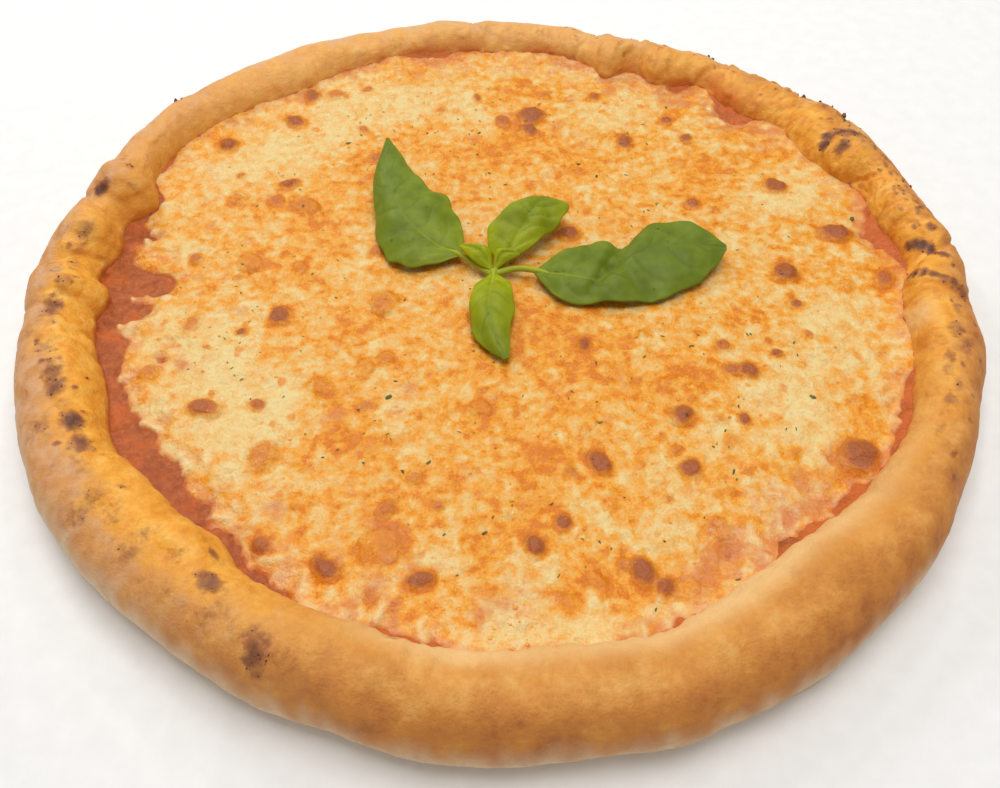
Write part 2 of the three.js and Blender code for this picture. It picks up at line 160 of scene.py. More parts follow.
def lumps(points, size, seed=0):
    """Smooth noise from about -1 to 1 at points in millimetres, with lumps of about that size."""
    place = np.asarray(points, float) / size + seed * SEED_SHIFT
    cell = np.floor(place).astype(np.int64)
    part = place - cell
    fade = part ** 3 * (part * (part * 6 - 15) + 10)
    total = np.zeros(len(place))
    for corner in product((0, 1), repeat=3):
        x, y, z = ((cell + corner) * STIR).T
        mixed = x ^ y ^ z ^ (seed * STIR_SEED)
        mixed = (mixed ^ (mixed >> 13)) * STIR_ALL & KEPT_BITS
        direction = EDGES[(mixed ^ (mixed >> 15)) % len(EDGES)]
        weight = np.where(corner, fade, 1 - fade).prod(1)
        total += weight * (direction * (part - corner)).sum(1)
    return FULL_SWING * total


def lumps_together(points, *layers):
    """Adds up lumps of several sizes; each layer is an amount, a size and a seed."""
    return sum(amount * lumps(points, size, seed) for amount, size, seed in layers)


def smooth_step(value, start, end):
    """0 up to start, 1 from end on, and an even S between them."""
    share = np.clip((value - start) / (end - start), 0, 1)
    return share * share * (3 - 2 * share)


def flat_points(x, y, z=0.0):
    """Stacks plain coordinates to points."""
    return np.stack(np.broadcast_arrays(x, y, z), -1).reshape(-1, 3).astype(float)


sample = lumps(flat_points(np.arange(500) * 0.37, 2.0, 5.0), 3)
print("lumps run from", round(sample.min(), 2), "to", round(sample.max(), 2))

# %% [markdown]
# ## The camera
# The picture was taken from the near side, at about 48 degrees above the table and only a third of
# a metre away, so the near rim looks much larger than the far one. A lens as wide as the sensor is
# 36 mm for 36 mm, and the small shift puts the middle of the view above the middle of the frame.

# %% Camera
camera_data = bpy.data.cameras.new("camera")
camera_data.lens = 36
camera_data.sensor_width = 36
camera_data.sensor_fit = "HORIZONTAL"
camera_data.shift_y = -0.07
camera_data.clip_start = 0.01
camera = bpy.data.objects.new("camera", camera_data)
view_elevation = 48
view_distance = 0.328
aimed_at = (0, -0.008, 0)
camera.location = (
    aimed_at[0],
    aimed_at[1] - view_distance * cos(radians(view_elevation)),
    aimed_at[2] + view_distance * sin(radians(view_elevation)),
)
camera.rotation_euler = (radians(90 - view_elevation), 0, 0)
bpy.context.scene.collection.objects.link(camera)
bpy.context.scene.camera = camera
print("the camera stands at", [round(v / MM) for v in camera.location], "mm")

# %% [markdown]
# ## Light
# The light is plain and soft: a pale room all round, a large soft panel overhead, and two smaller
# ones at the back that give the oil and the wet sauce their small bright glints.

# %% Room and lamps
scene = bpy.context.scene
scene.view_settings.view_transform = "Standard"
room_strength = 0.42
room = bpy.data.worlds.new("pale room")
room.use_nodes = True
connect(room.node_tree.nodes["Background"], {"Color": linear("#f4f3f1"), "Strength": room_strength})
scene.world = room
# Name, width in metres, power in watts and place of each square panel. All face the pizza's middle.
panels = [
    ("overhead panel", 0.9, 10.5, (0.05, 0.1, 1.3)),
    ("window side panel", 0.35, 2.8, (-0.55, 0.75, 0.75)),
    ("far glint panel", 0.12, 1.1, (0.12, 0.85, 0.9)),
]
for name, size, power, place in panels:
    data = bpy.data.lights.new(name, "AREA")
    data.size = size
    data.energy = power
    lamp = bpy.data.objects.new(name, data)
    lamp.location = place
    lamp.rotation_euler = Vector(place).to_track_quat("Z", "Y").to_euler()
    scene.collection.objects.link(lamp)
    print(name, "gives", power, "W")

# %% [markdown]
# ## The table
# A wide pale sheet is the floor. It only carries the shadow, but it still has a little grain.

# %% Table top
table_mesh = bpy.data.meshes.new("table top")
half = 3.0
table_corners = [(-half, -half, 0), (half, -half, 0), (half, half, 0), (-half, half, 0)]
table_mesh.from_pydata(table_corners, [], [(0, 1, 2, 3)])
table = bpy.data.objects.new("table_top", table_mesh)
scene.collection.objects.link(table)
table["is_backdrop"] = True
table_paint, shader = new_material("matt white paint")
grain = add_node(table_paint, "TexNoise", {"Scale": 900.0, "Detail": 3.0})
tint = add_node(table_paint, "ValToRGB", {"Fac": grain})
set_stops(tint, [(0.3, "#f1f0ee"), (0.7, "#f6f5f3")])
connect(shader, {"Base Color": tint, "Roughness": 0.85})
table_mesh.materials.append(table_paint)
print("the table is", 2 * half, "m wide")

# %% [markdown]
# ## Building round pieces
# Dough, sauce and cheese are all round, so each is a stack of closed rings of points. Neighbouring
# rings are joined by faces. Near the middle a full ring would have needlessly many points, so a ring
# may have half, or double, the number of the ring before it. A single point closes an end.

# %% Rings to faces


def join_rings(counts):
    """Faces between rings that follow each other; counts are their numbers of points."""
    starts = np.concatenate([[0], np.cumsum(counts)])
    faces = []
    for ring in range(len(counts) - 1):
        here, there = counts[ring], counts[ring + 1]
        a, b = int(starts[ring]), int(starts[ring + 1])
        for i in range(max(here, there)):
            j = i + 1
            if here == there:
                faces.append((a + i, a + j % here, b + j % there, b + i))
            elif there == 1:
                faces.append((a + i, a + j % here, b))
            elif here == 1:
                faces.append((a, b + j % there, b + i))
            elif here == 2 * there and i < there:
                p, q, r = a + 2 * i, a + 2 * i + 1, a + (2 * i + 2) % here
                inner_next = b + j % there
                faces += [(p, q, b + i), (q, inner_next, b + i), (q, r, inner_next)]
            elif there == 2 * here and i < here:
                p, q, r = b + 2 * i, b + 2 * i + 1, b + (2 * i + 2) % there
                outer_next = a + j % here
                faces += [(a + i, q, p), (a + i, outer_next, q), (outer_next, r, q)]
    return faces


def add_piece(name, points, faces, material, masks={}):
    """A smooth mesh piece from points in millimetres, which rides with the pizza."""
    mesh = bpy.data.meshes.new(name)
    mesh.from_pydata((np.asarray(points) * MM).tolist(), [], faces)
    mesh.polygons.foreach_set("use_smooth", [True] * len(mesh.polygons))
    for mask, values in masks.items():
        stored = mesh.attributes.new(mask, "FLOAT", "POINT")
        stored.data.foreach_set("value", np.asarray(values, np.float32))
    mesh.materials.append(material)
    piece = bpy.data.objects.new(name, mesh)
    scene.collection.objects.link(piece)
    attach(piece, "root")
    print(name, "has", len(mesh.vertices), "points and", len(mesh.polygons), "faces")
    return piece


print("a ring of 8 points round a point has", len(join_rings([8, 1])), "faces")

# %% [markdown]
# ## Reading the forms off the solids
# The solid rim is a row of sections, one every two degrees. Sorting the points by angle and then by
# direction from the middle of the section gives a tidy grid, and a smooth curve through it gives as
# many points between them as the fine surface needs.

# %% Sections of the solids


def solid_points(name):
    """The corner points of a solid, in millimetres, each once."""
    mesh = nodes[name].data
    points = np.empty(len(mesh.vertices) * 3)
    mesh.vertices.foreach_get("co", points)
    return np.unique(np.round(points.reshape(-1, 3) / MM, 3), axis=0)


def to_polar(points):
    """Angle in degrees from 0 to 360, and radius."""
    return np.degrees(np.arctan2(points[:, 1], points[:, 0])) % 360, np.hypot(points[:, 0], points[:, 1])


def smooth_through(grid, times, closed):
    """Puts new rows between the rows of a grid, on smooth curves through them."""
    rows = len(grid)
    if closed:
        place = np.arange(rows * times) / times
    else:
        place = np.arange((rows - 1) * times + 1) / times
    cell = np.minimum(np.floor(place).astype(int), rows - 1 if closed else rows - 2)
    t = (place - cell).reshape(-1, *[1] * (grid.ndim - 1))

    def row(offset):
        number = cell + offset
        return grid[number % rows] if closed else grid[np.clip(number, 0, rows - 1)]

    p, q, r, s = row(-1), row(0), row(1), row(2)
    return q + 0.5 * t * (r - p + t * (2 * p - 5 * q + 4 * r - s + t * (3 * (q - r) + s - p)))


sections_round = 180
tube_middle = 8
crust_points = solid_points("crust")
angle, radius = to_polar(crust_points)
step = np.round(angle * sections_round / 360).astype(int) % sections_round
rim_grid = []
for number in range(sections_round):
    own = (step == number) & (radius > 1)
    section = np.stack([radius[own], crust_points[own, 2]], 1)
    middle = np.array([(section[:, 0].min() + section[:, 0].max()) / 2, tube_middle])
    turn = np.degrees(np.arctan2(section[:, 1] - middle[1], section[:, 0] - middle[0]))
    turn = np.where(turn < -90, turn + 360, turn)
    rim_grid.append(section[np.argsort(-turn)])
rim_grid = np.array(rim_grid)
print("the rim is", rim_grid.shape[0], "sections of", rim_grid.shape[1], "points")

# %% [markdown]
# The edge of the cheese is read the same way, from the ring of points at its underside. Most marks on
# a round thing sit at an angle, so small helpers give what is known all round at any angle, the way
# from one angle to another, and a soft hump round an angle.

# %% Edges of the cheese and of the rim
around = 1080
middle_part = 50
degrees_round = np.arange(around) * 360 / around
cheese_points = solid_points("cheese")
ring = cheese_points[cheese_points[:, 2] < cheese_points[:, 2].min() + 0.1]
ring = ring[np.hypot(ring[:, 0], ring[:, 1]) > middle_part]
angle, radius = to_polar(ring)
order = np.argsort(angle)
cheese_ring = radius[order]
cheese_edge = smooth_through(cheese_ring, around // len(cheese_ring), True)
fine_rim = smooth_through(rim_grid, around // sections_round, True)
flank = fine_rim[:, 1, 0]
print("bare sauce is up to", round((flank - cheese_edge).max(), 1), "mm wide")


def at_angle(values, angles):
    """Reads a value that is known all round at any angles."""
    return np.interp(np.asarray(angles) % 360, np.append(degrees_round, 360), np.append(values, values[0]))


def turn_from(angles, at):
    """The way from one angle to others in degrees, from -180 to 180."""
    return (np.asarray(angles) - at + 540) % 360 - 180


def hump(angles, at, spread):
    """1 at an angle, falling smoothly to 0 at spread degrees from it."""
    away = np.abs(turn_from(angles, at)) / spread
    return np.where(away < 1, (1 + np.cos(pi * np.minimum(away, 1))) / 2, 0)


def humps(angles, *effects):
    """Adds up humps; each effect is an amount, an angle and a spread."""
    return sum(amount * hump(angles, at, spread) for amount, at, spread in effects)


# %% [markdown]
# ## The baked rim: its shape
# A rim puffs up in the oven, so its skin is stretched over bubbles: large soft lumps, finer ones on
# them, and clusters of small ones where the dough was thin. Creases cross it where it was pinched,
# and the inner side is crumpled, in wrinkles that are drawn out across the rim. Noise alone would
# look like putty, so the large bubbles and the creases are listed one by one, and the rest goes by rule.

# %% A finer grid of the rim
between = 6
rim = smooth_through(fine_rim.transpose(1, 0, 2), between, False).transpose(1, 0, 2)
across = np.linspace(0, rim_grid.shape[1] - 1, rim.shape[1])
turned = np.radians(degrees_round)[:, None]
surface = np.stack([rim[..., 0] * np.cos(turned), rim[..., 0] * np.sin(turned), rim[..., 1]], -1)
rim_across = np.broadcast_to(across, surface.shape[:2]).ravel()
# In mm: the middle line of the rim, the plain tube for drawn-out patterns, and one step across.
RIM_LINE, TUBE_LINE, STEP_ACROSS = 138, 135, 3.4
CREST = 6


def normals_of(grid):
    """The outward direction at every point of a grid that is closed round its first axis."""
    along = np.roll(grid, -1, 0) - np.roll(grid, 1, 0)
    down = np.gradient(grid, axis=1)
    normal = np.cross(down, along)
    return normal / (np.linalg.norm(normal, axis=2, keepdims=True) + 1e-9)


def laid_out(angles, across_rim, stretch):
    """The rim as a plain tube, so that a pattern on it can be drawn out across the rim."""
    turn = np.radians(angles)
    along = across_rim * STEP_ACROSS / stretch
    return np.stack([TUBE_LINE * np.cos(turn), TUBE_LINE * np.sin(turn), along], 1)


def away_from(angles, at, place, length, width):
    """How far the points of the rim are from a mark: 0 in its middle and 1 at its edge."""
    aside = radians(1) * RIM_LINE * turn_from(angles, at) / (length / 2)
    return np.hypot(aside, (rim_across - place) * STEP_ACROSS / (width / 2))


def bubble_height(away):
    """The height of a bubble, from 1 in its middle to 0 at its edge, with steep sides."""
    return np.clip(1 - away ** 2, 0, 1) ** 0.6


print("the grid of the rim is", surface.shape[:2], "points")

# %% Bubbles and creases, listed one by one
# Bubbles and flaps of dough: angle, radius, length round the rim, width across it, rise. In mm.
bubbles = [
    (162, 139, 15, 17, 1.6), (172, 137, 12, 13, 1.1), (183, 137, 11, 13, 1.3), (191, 138, 10, 11, 0.8),
    (201, 133, 18, 10, 0.7), (219, 134, 16, 9, 0.7), (231, 127, 14, 10, 1.0), (240, 131, 12, 8, 0.7),
    (70, 131, 11, 17, 1.5), (62, 134, 10, 14, 1.1), (55, 140, 9, 12, 1.1), (40, 145, 10, 12, 1.3),
    (34, 141, 14, 15, 1.1), (25, 139, 17, 16, 1.2), (12, 141, 15, 16, 0.9), (357, 141, 13, 15, 1.0),
    (348, 138, 13, 15, 0.8), (95, 139, 12, 13, 0.7), (107, 140, 12, 12, 0.6), (150, 141, 12, 12, 0.6),
    (83, 139, 9, 12, 0.6), (335, 137, 14, 14, 0.5), (46, 147, 6, 6, 0.9), (52, 148, 5, 5, 0.7),
]
# Creases: angle, how far it leans over the width of the rim in degrees, half width and depth in mm.
creases = [
    (4, 3, 1.2, 1.3), (18, -5, 1.0, 0.9), (39, 3, 1.0, 1.0), (53, -3, 1.1, 1.0), (66, 2, 0.8, 0.9),
    (75, -3, 0.9, 0.9), (94, 2, 0.9, 0.9), (167, -3, 1.0, 1.0), (178, 3, 1.0, 1.1), (187, -2, 1.0, 0.9),
    (356, -4, 0.9, 0.8), (226, 3, 0.9, 0.5), (30, 4, 0.8, 0.7),
]
# Clusters of small bubbles: angle, place across the rim, spread along in degrees and across, number.
clusters = [(42, 7.0, 5, 1.2, 26), (20, 5.6, 6, 1.8, 26), (60, 5.6, 7, 1.8, 16), (88, 5.6, 12, 1.8, 20),
            (345, 5.6, 8, 1.6, 14), (190, 5, 14, 1.6, 24), (160, 5, 7, 1.6, 12), (225, 5.5, 10, 1.4, 10)]
print("by hand:", len(bubbles), "bubbles,", len(creases), "creases and", len(clusters), "clusters")

# %% Rim surface
flat_rim = surface.reshape(-1, 3)
start_angle, start_radius = to_polar(flat_rim)
upper = smooth_step(rim_across, 0.6, 2.2) * (1 - smooth_step(rim_across, 10.5, 12))
wobble = lumps_together(flat_rim, (0.22, 7, 11), (0.12, 3, 12))
push = lumps_together(flat_rim, (0.3, 15, 1), (0.2, 6, 2), (0.1, 2.4, 3))
crumpled = smooth_step(rim_across, 0.3, 1.6) * (1 - smooth_step(rim_across, 5.5, 8))
push += crumpled * 0.55 * lumps(laid_out(start_angle, rim_across, 2.4), 4.5, 24)
push += crumpled * 0.28 * lumps(laid_out(start_angle, rim_across, 2.0), 2.2, 25)
for at, out, length, width, rise in bubbles:
    aside = radians(1) * out * turn_from(start_angle, at) / (length / 2)
    away = np.hypot(aside, (start_radius - out) / (width / 2)) + wobble
    push += upper * rise * bubble_height(away)
chance = np.random.default_rng(12)
for at, place, spread, wide, number in clusters:
    for _ in range(number):
        middle, level = at + spread * chance.normal(), place + wide * chance.normal()
        half = chance.uniform(0.9, 2.2)
        away = away_from(start_angle, middle, level, 2 * half, 2 * half) + 0.6 * wobble
        push += upper * 0.28 * half * bubble_height(away)
for at, lean, half_width, depth in creases:
    middle = at + lean * (rim_across - CREST) / CREST + 0.8 * wobble
    aside = radians(1) * start_radius * turn_from(start_angle, middle)
    push -= upper * depth * np.exp(-(aside / half_width) ** 2)
covered = smooth_step(rim_across, 0, 1) * (1 - smooth_step(rim_across, 13.2, 14))
push = (push * covered).reshape(surface.shape[:2])
surface = surface + normals_of(surface) * push[..., None]
print("the highest point of the rim is", round(surface[..., 2].max(), 1), "mm up")

# %% [markdown]
# ## The baked rim: what the oven did to it
# Colour on a crust has causes. The crest and the outside face the heat and turn golden. Thin
# bubbles scorch first, in brown and black freckles. The inner side is wet with oil and tomato and
# turns orange. The lip that the cheese covered stays pale, and the bottom keeps flour. Each cause
# is a mask from 0 to 1 on the points, and the material mixes the colours from the masks.

# %% Scorch marks, listed one by one
# Angle, place across the rim (0 at the foot of the inner side, 6 at the crest, 10 outside), length
# round the rim and width across it in mm, and strength.
scorch_marks = [
    (187.7, 5.7, 9, 7, 0.9), (191, 7, 7, 6, 0.4), (194.7, 6, 8, 6, 0.4), (199.7, 5.7, 8, 5, 0.85),
    (202, 5.6, 8, 5, 1.0), (205, 5.2, 9, 6, 0.45), (208, 4.8, 10, 6, 1.25), (211.7, 4.7, 8, 6, 1.15),
    (215, 5.6, 9, 6, 0.4), (173.8, 5, 9, 5, 0.6), (176, 4.6, 8, 4, 0.5), (178.5, 4.4, 10, 6, 0.45),
    (183.7, 5.3, 10, 5, 0.5), (165.2, 6, 6, 5, 1.25), (160.5, 5.2, 5, 3, 0.6), (158.3, 6.2, 6, 3, 0.45),
    (163.4, 4.2, 2.5, 9, 0.45), (220, 6.2, 9, 6, 0.5), (223.5, 6, 10, 5, 0.45), (228, 5.8, 9, 5, 0.4),
    (233, 5.8, 9, 5, 0.35), (235, 3.7, 6, 3, 0.85), (238, 5.3, 10, 5, 0.95), (240, 7, 7, 5, 0.4),
    (246.7, 7.5, 7, 9, 1.05), (245.6, 6.6, 7, 5, 0.6), (249.5, 7, 10, 7, 0.3), (258.7, 3.4, 9, 3, 0.5),
    (28.7, 3.7, 5, 5, 1.1), (29.3, 4.5, 6, 5, 1.25), (28.6, 5.3, 7, 5, 1.3), (27.4, 6.1, 8, 5, 1.2),
    (26, 4.4, 5, 6, 1.1), (26.3, 6.8, 7, 4, 1.0), (24.5, 6.9, 7, 4, 0.8), (21.5, 7.2, 8, 4, 0.6),
    (7, 5.7, 5, 5, 0.9), (8, 4.2, 4, 3, 0.6), (10, 5.7, 6, 4, 0.65), (13, 6.4, 8, 4, 0.5),
    (6, 2.6, 4, 5, 1.2), (5.6, 3.2, 5, 5, 1.35), (5, 3.9, 5, 5, 1.4), (4, 4.7, 5, 5, 1.35),
    (3, 5.4, 5, 5, 1.3), (2, 6.1, 5, 5, 1.15), (359.9, 2.6, 4, 4, 0.9), (359.5, 3.4, 4, 4, 0.95),
    (358.8, 4.2, 4, 4, 1.0), (358, 5, 4, 4, 1.0), (357.2, 5.8, 4, 4, 1.0), (356.6, 6.6, 4, 5, 1.0),
    (356, 7.4, 4, 5, 0.95), (355.6, 8.2, 4, 6, 0.9), (352, 6.3, 6, 3, 0.7), (347.7, 5.8, 10, 5, 0.65),
    (345.3, 6.3, 9, 5, 0.55), (343.3, 5.2, 8, 4, 0.65), (340.7, 5, 8, 4, 0.45), (338.7, 5.9, 7, 4, 0.5),
    (336, 5.5, 7, 5, 0.6), (334, 5, 6, 3, 0.4), (331.5, 5.2, 7, 4, 0.4), (327, 5.6, 7, 4, 0.3),
    (40, 8.8, 8, 3, 0.9), (36.7, 8.2, 7, 3, 0.8), (31.5, 7.3, 8, 4, 0.65), (37.4, 4.8, 4, 4, 0.45),
    (55.3, 8.4, 5, 3, 0.6), (69, 5.4, 3, 6, 0.45), (63, 4.1, 5, 4, 0.4), (60, 4.4, 4, 4, 0.35),
    (95, 4, 5, 4, 0.3), (83, 5, 6, 5, 0.3), (77, 5, 5, 4, 0.3), (143, 7.5, 5, 5, 0.5),
    (43, 3, 6, 6, 0.35),
]
# Clusters of freckles: angle, place across, spread along in degrees and across, number.
freckled = [(12, 5.8, 3, 0.8, 30), (27, 6.0, 4, 1.0, 26), (19, 7.4, 5, 0.7, 18), (62, 6.8, 8, 0.9, 24),
            (202, 5.4, 8, 0.9, 20), (345, 6.8, 9, 0.9, 16), (184, 5.6, 8, 0.8, 14), (44, 7.6, 6, 0.8, 18)]
print("there are", len(scorch_marks), "scorch marks and", len(freckled), "clusters of freckles")

# %% [markdown]
# Freckles are far too many to place by hand, so each cluster draws its own, from a seeded source of
# chance. All marks have blurred edges that wander with the noise, like scorching that crept outward.

# %% Freckles by rule, and scorching
chance = np.random.default_rng(14)
for at, place, spread, wide, number in freckled:
    for _ in range(number):
        middle, level = at + spread * chance.normal(), place + wide * chance.normal()
        scorch_marks.append((middle, level, chance.uniform(1.5, 3.2), chance.uniform(1.2, 2.6),
                             chance.uniform(0.45, 0.95)))
rim_points = surface.reshape(-1, 3)
rim_angle = to_polar(rim_points)[0]
scorch = np.zeros(len(rim_points))
wander = lumps_together(rim_points, (0.28, 3, 5), (0.2, 1.5, 6))
for at, place, length, width, strength in scorch_marks:
    away = away_from(rim_angle, at, place, length, width) + wander
    scorch = np.maximum(scorch, strength * (1 - smooth_step(away, 0.1, 1.5)))
scorch *= smooth_step(rim_across, 1.2, 2.4)
print("scorched are", round(100 * float((scorch > 0.3).mean()), 1), "% of the rim's points")

# %% Oil, streaks and specks on the inner side
left_band = np.clip(1.8 * hump(rim_angle, 208, 60), 0, 1)
oily_side = np.clip(left_band + humps(rim_angle, (1.2, 15, 75), (0.45, 120, 80)), 0, 1)
border = 6.2 + lumps_together(rim_points, (1.2, 11, 7), (0.6, 3.5, 13))
inner_side = 1 - smooth_step(rim_across, border - 1.1, border + 0.7)
oil = inner_side * (0.15 + 0.85 * oily_side)
drawn_out = laid_out(rim_angle, rim_across, 3.5)
streaks = lumps(drawn_out, 1.4, 14) + lumps_together(rim_points, (0.5, 2.4, 15), (0.5, 8, 20))
streaks = smooth_step(streaks, 0.05, 0.75) * inner_side * np.clip(0.22 + hump(rim_angle, 25, 62), 0, 1)
speckled = humps(rim_angle, (0.6, 17, 20), (0.3, 48, 28), (0.3, 345, 22), (0.2, 100, 60))
speckled = np.clip(speckled + 0.3 * left_band, 0, 1) * inner_side
speckled *= smooth_step(lumps(drawn_out, 3, 26) + 0.3, -0.2, 0.6)
print("oily are", round(100 * float((oil > 0.5).mean()), 1), "% of the rim's points")

# %% Pale lip, flour and tomato stains
pale_lip = np.clip(humps(rim_angle, (1, 296, 56), (0.6, 262, 16), (0.7, 352, 4)), 0, 1)
pale_lip *= 1 - smooth_step(rim_across, 3.4, 5.6)
floury_from = 9.2 - 1.2 * hump(rim_angle, 215, 45)
flour = smooth_step(rim_across + 0.8 * lumps(drawn_out, 4, 16), floury_from, floury_from + 3)
low = rim_points[:, 2] + 1.2 * lumps(rim_points, 5, 8)
stain = (1 - smooth_step(low, 8.0, 11.0)) * (0.25 + 0.75 * left_band)
far_patches = smooth_step(lumps(rim_points, 13, 17), 0.0, 0.5) + humps(rim_angle, (1, 102, 10), (1, 45, 9))
far_stain = np.clip(far_patches, 0, 1) * hump(rim_angle, 85, 70) * (1 - smooth_step(low, 10, 16))
stain = np.maximum(stain, 0.85 * far_stain) * (1 - smooth_step(rim_across, 3.5, 5))
# Where sauce climbed the inner side: angle, spread in degrees, height in mm.
climbed = [(49, 8, 17.5), (57, 3, 15), (66, 4, 14), (103, 6, 15), (78, 4, 13.5), (117, 4, 13), (11, 7, 12)]
for at, spread, height in climbed:
    reached = hump(rim_angle, at, spread) ** 0.5 * (1 - smooth_step(low, height - 4, height))
    stain = np.maximum(stain, 0.8 * reached * (rim_across < 5.5))
print("stained are", round(100 * float((stain > 0.3).mean()), 1), "% of the rim's points")

# %% Browning of the crest, and the masks together
crest_smudge = np.exp(-((rim_across - border - 0.8) / 1.4) ** 2)
crest_smudge *= np.clip(left_band + hump(rim_angle, 350, 35), 0, 1)
crest_smudge *= smooth_step(lumps_together(rim_points, (1, 9, 18), (0.4, 3, 19)), -0.15, 0.6)
golden = 0.48 + lumps_together(rim_points, (0.15, 24, 9), (0.17, 9, 10))
golden += 0.3 * smooth_step(rim_across, 6, 8.5) * hump(rim_angle, 297, 120)
golden -= humps(rim_angle, (0.34, 118, 48), (0.32, 92, 62))
ashen = np.clip(humps(rim_angle, (1, 150, 75), (0.9, 205, 60), (0.8, 88, 55)), 0, 1)
ashen *= smooth_step(rim_across + 2.8 * hump(rim_angle, 112, 70), 3, 6.5)
ashen *= np.clip(0.5 + lumps_together(rim_points, (0.5, 5, 27), (0.5, 2.4, 28)), 0.3, 1)
rim_masks = {"scorch": np.maximum(scorch, 0.5 * crest_smudge), "oil": oil, "streaks": 0.7 * streaks,
             "pale": pale_lip, "speckled": speckled, "flour": flour, "stain": stain,
             "ashen": 0.95 * ashen, "golden": np.clip(golden, 0, 1)}
for mask, values in rim_masks.items():
    print("mask", mask, "averages", round(float(values.mean()), 2))

# %% [markdown]
# ## Baked wheat dough
# The skin of baked bread is dry and slightly rough, and light goes a little way into it, which
# softens its shadows. Its golden brown is broken up by mottling of about 6 mm and by freckles, and
# its fine pebbling is about half a millimetre, drawn a little coarser so that it shows.

# %% Dough material: its patterns
dough, shader = new_material("baked wheat dough")
where = add_node(dough, "TexCoord").outputs["Object"]
mask = {name: add_node(dough, "Attribute", attribute_name=name).outputs["Fac"] for name in rim_masks}
MOTTLE_MM, FRECKLE_MM, PEBBLE_MM = 6.0, 1.6, 0.7
mottle, freckle, pebble = [
    add_node(dough, "TexNoise", {"Vector": where, "Scale": 1000 / size, "Detail": detail,
                                 "Roughness": rough})
    for size, detail, rough in ((MOTTLE_MM, 5.0, 0.62), (FRECKLE_MM, 3.0, 0.6), (PEBBLE_MM, 2.0, 0.5))]
centred, broken = [add_node(dough, "Math", {0: pattern, 1: 0.5}, operation="SUBTRACT")
                   for pattern in (mottle, freckle)]
flecked = add_node(dough, "Math", {0: broken, 1: 0.45, 2: mask["golden"]}, operation="MULTIPLY_ADD")
baked = add_node(dough, "Math", {0: centred, 1: 1.1, 2: flecked}, operation="MULTIPLY_ADD")
bake = add_node(dough, "ValToRGB", {"Fac": baked})
set_stops(bake, [(0.05, "#e9b56b"), (0.35, "#dd9c4e"), (0.6, "#cf873d"), (0.85, "#c27a3a"),
                 (1.0, "#b26c35")])
amber = add_node(dough, "ValToRGB", {"Fac": mottle})
set_stops(amber, [(0.3, "#e0902e"), (0.5, "#f3a93c"), (0.68, "#f8be58")])
print("the dough reads", len(mask), "masks")

# %% [markdown]
# Every mark lies over the ones before it: first the dry, ashen skin and the oily one, then rusty
# streaks and specks, then the pale lip, flour and tomato, and the scorching last. So the colours are
# mixed in that order, each by its own amount, and noise breaks up the borders.

# %% Dough material: its colours
speck = add_node(dough, "MapRange", {"Value": freckle, "From Min": 0.5, "From Max": 0.62})
crumb = add_node(dough, "MapRange", {"Value": freckle, "From Min": 0.5, "From Max": 0.38, "To Max": 0.5})
dust = add_node(dough, "MapRange", {"Value": freckle, "From Min": 0.35, "From Max": 0.6, "To Min": 0.65})
specks, crumbs, dusting = [add_node(dough, "Math", {0: pattern, 1: mask[name]}, operation="MULTIPLY")
                           for pattern, name in ((speck, "speckled"), (crumb, "speckled"), (dust, "flour"))]
frayed = add_node(dough, "Math", {0: broken, 1: 0.7, 2: mask["scorch"]}, operation="MULTIPLY_ADD")
edge = add_node(dough, "Math", {0: centred, 1: 0.6, 2: frayed}, operation="MULTIPLY_ADD")
brown = add_node(dough, "MapRange", {"Value": edge, "From Min": 0.12, "From Max": 0.8, "To Max": 0.85},
                 interpolation_type="SMOOTHSTEP")
black = add_node(dough, "MapRange", {"Value": edge, "From Min": 0.7, "From Max": 1.25, "To Max": 0.9})
dough_layers = [
    (mask["ashen"], linear("#dcab80")), (mask["oil"], amber), (mask["streaks"], linear("#d47a28")),
    (specks, linear("#df7d22")), (crumbs, linear("#f1c47c")), (mask["pale"], linear("#f0c484")),
    (dusting, linear("#e6caa6")), (mask["stain"], linear("#cf6a2c")), (brown, linear("#985c39")),
    (black, linear("#5e3c34")),
]
colour = bake
for amount, paint in dough_layers:
    colour = add_node(dough, "Mix", {"Factor": amount, "A": colour, "B": paint}, data_type="RGBA")
wet = add_node(dough, "MapRange", {"Value": mask["oil"], "To Min": 0.6, "To Max": 0.36})
skin = add_node(dough, "Bump", {"Height": pebble, "Distance": 0.0003, "Strength": 0.7})
wrinkle = add_node(dough, "Bump", {"Height": freckle, "Distance": 0.0006, "Strength": 0.5, "Normal": skin})
connect(shader, {"Base Color": colour, "Roughness": wet, "Normal": wrinkle, "IOR": 1.45,
                 "Specular IOR Level": 0.25, "Subsurface Weight": 0.1,
                 "Subsurface Radius": (1.0, 0.5, 0.2), "Subsurface Scale": 0.0012})
print("dough has", len(dough.node_tree.nodes), "nodes")

# %% [markdown]
# ## Closing the crust
# The rim's grid becomes the crust when its underside and the floor under the sauce are added: rings
# that shrink towards the middle and lose half their points each time that there are too many.

# %% Crust piece


def inward_rings(edge_ring, shares, counts, height):
    """Rings inside an edge, which keep its outline less and less, at a given height."""
    rings = []
    for share, count in zip(shares, counts):
        picked = edge_ring[::len(edge_ring) // count]
        ring = picked * share
        ring[:, 2] = height
        rings.append(ring)
    return rings


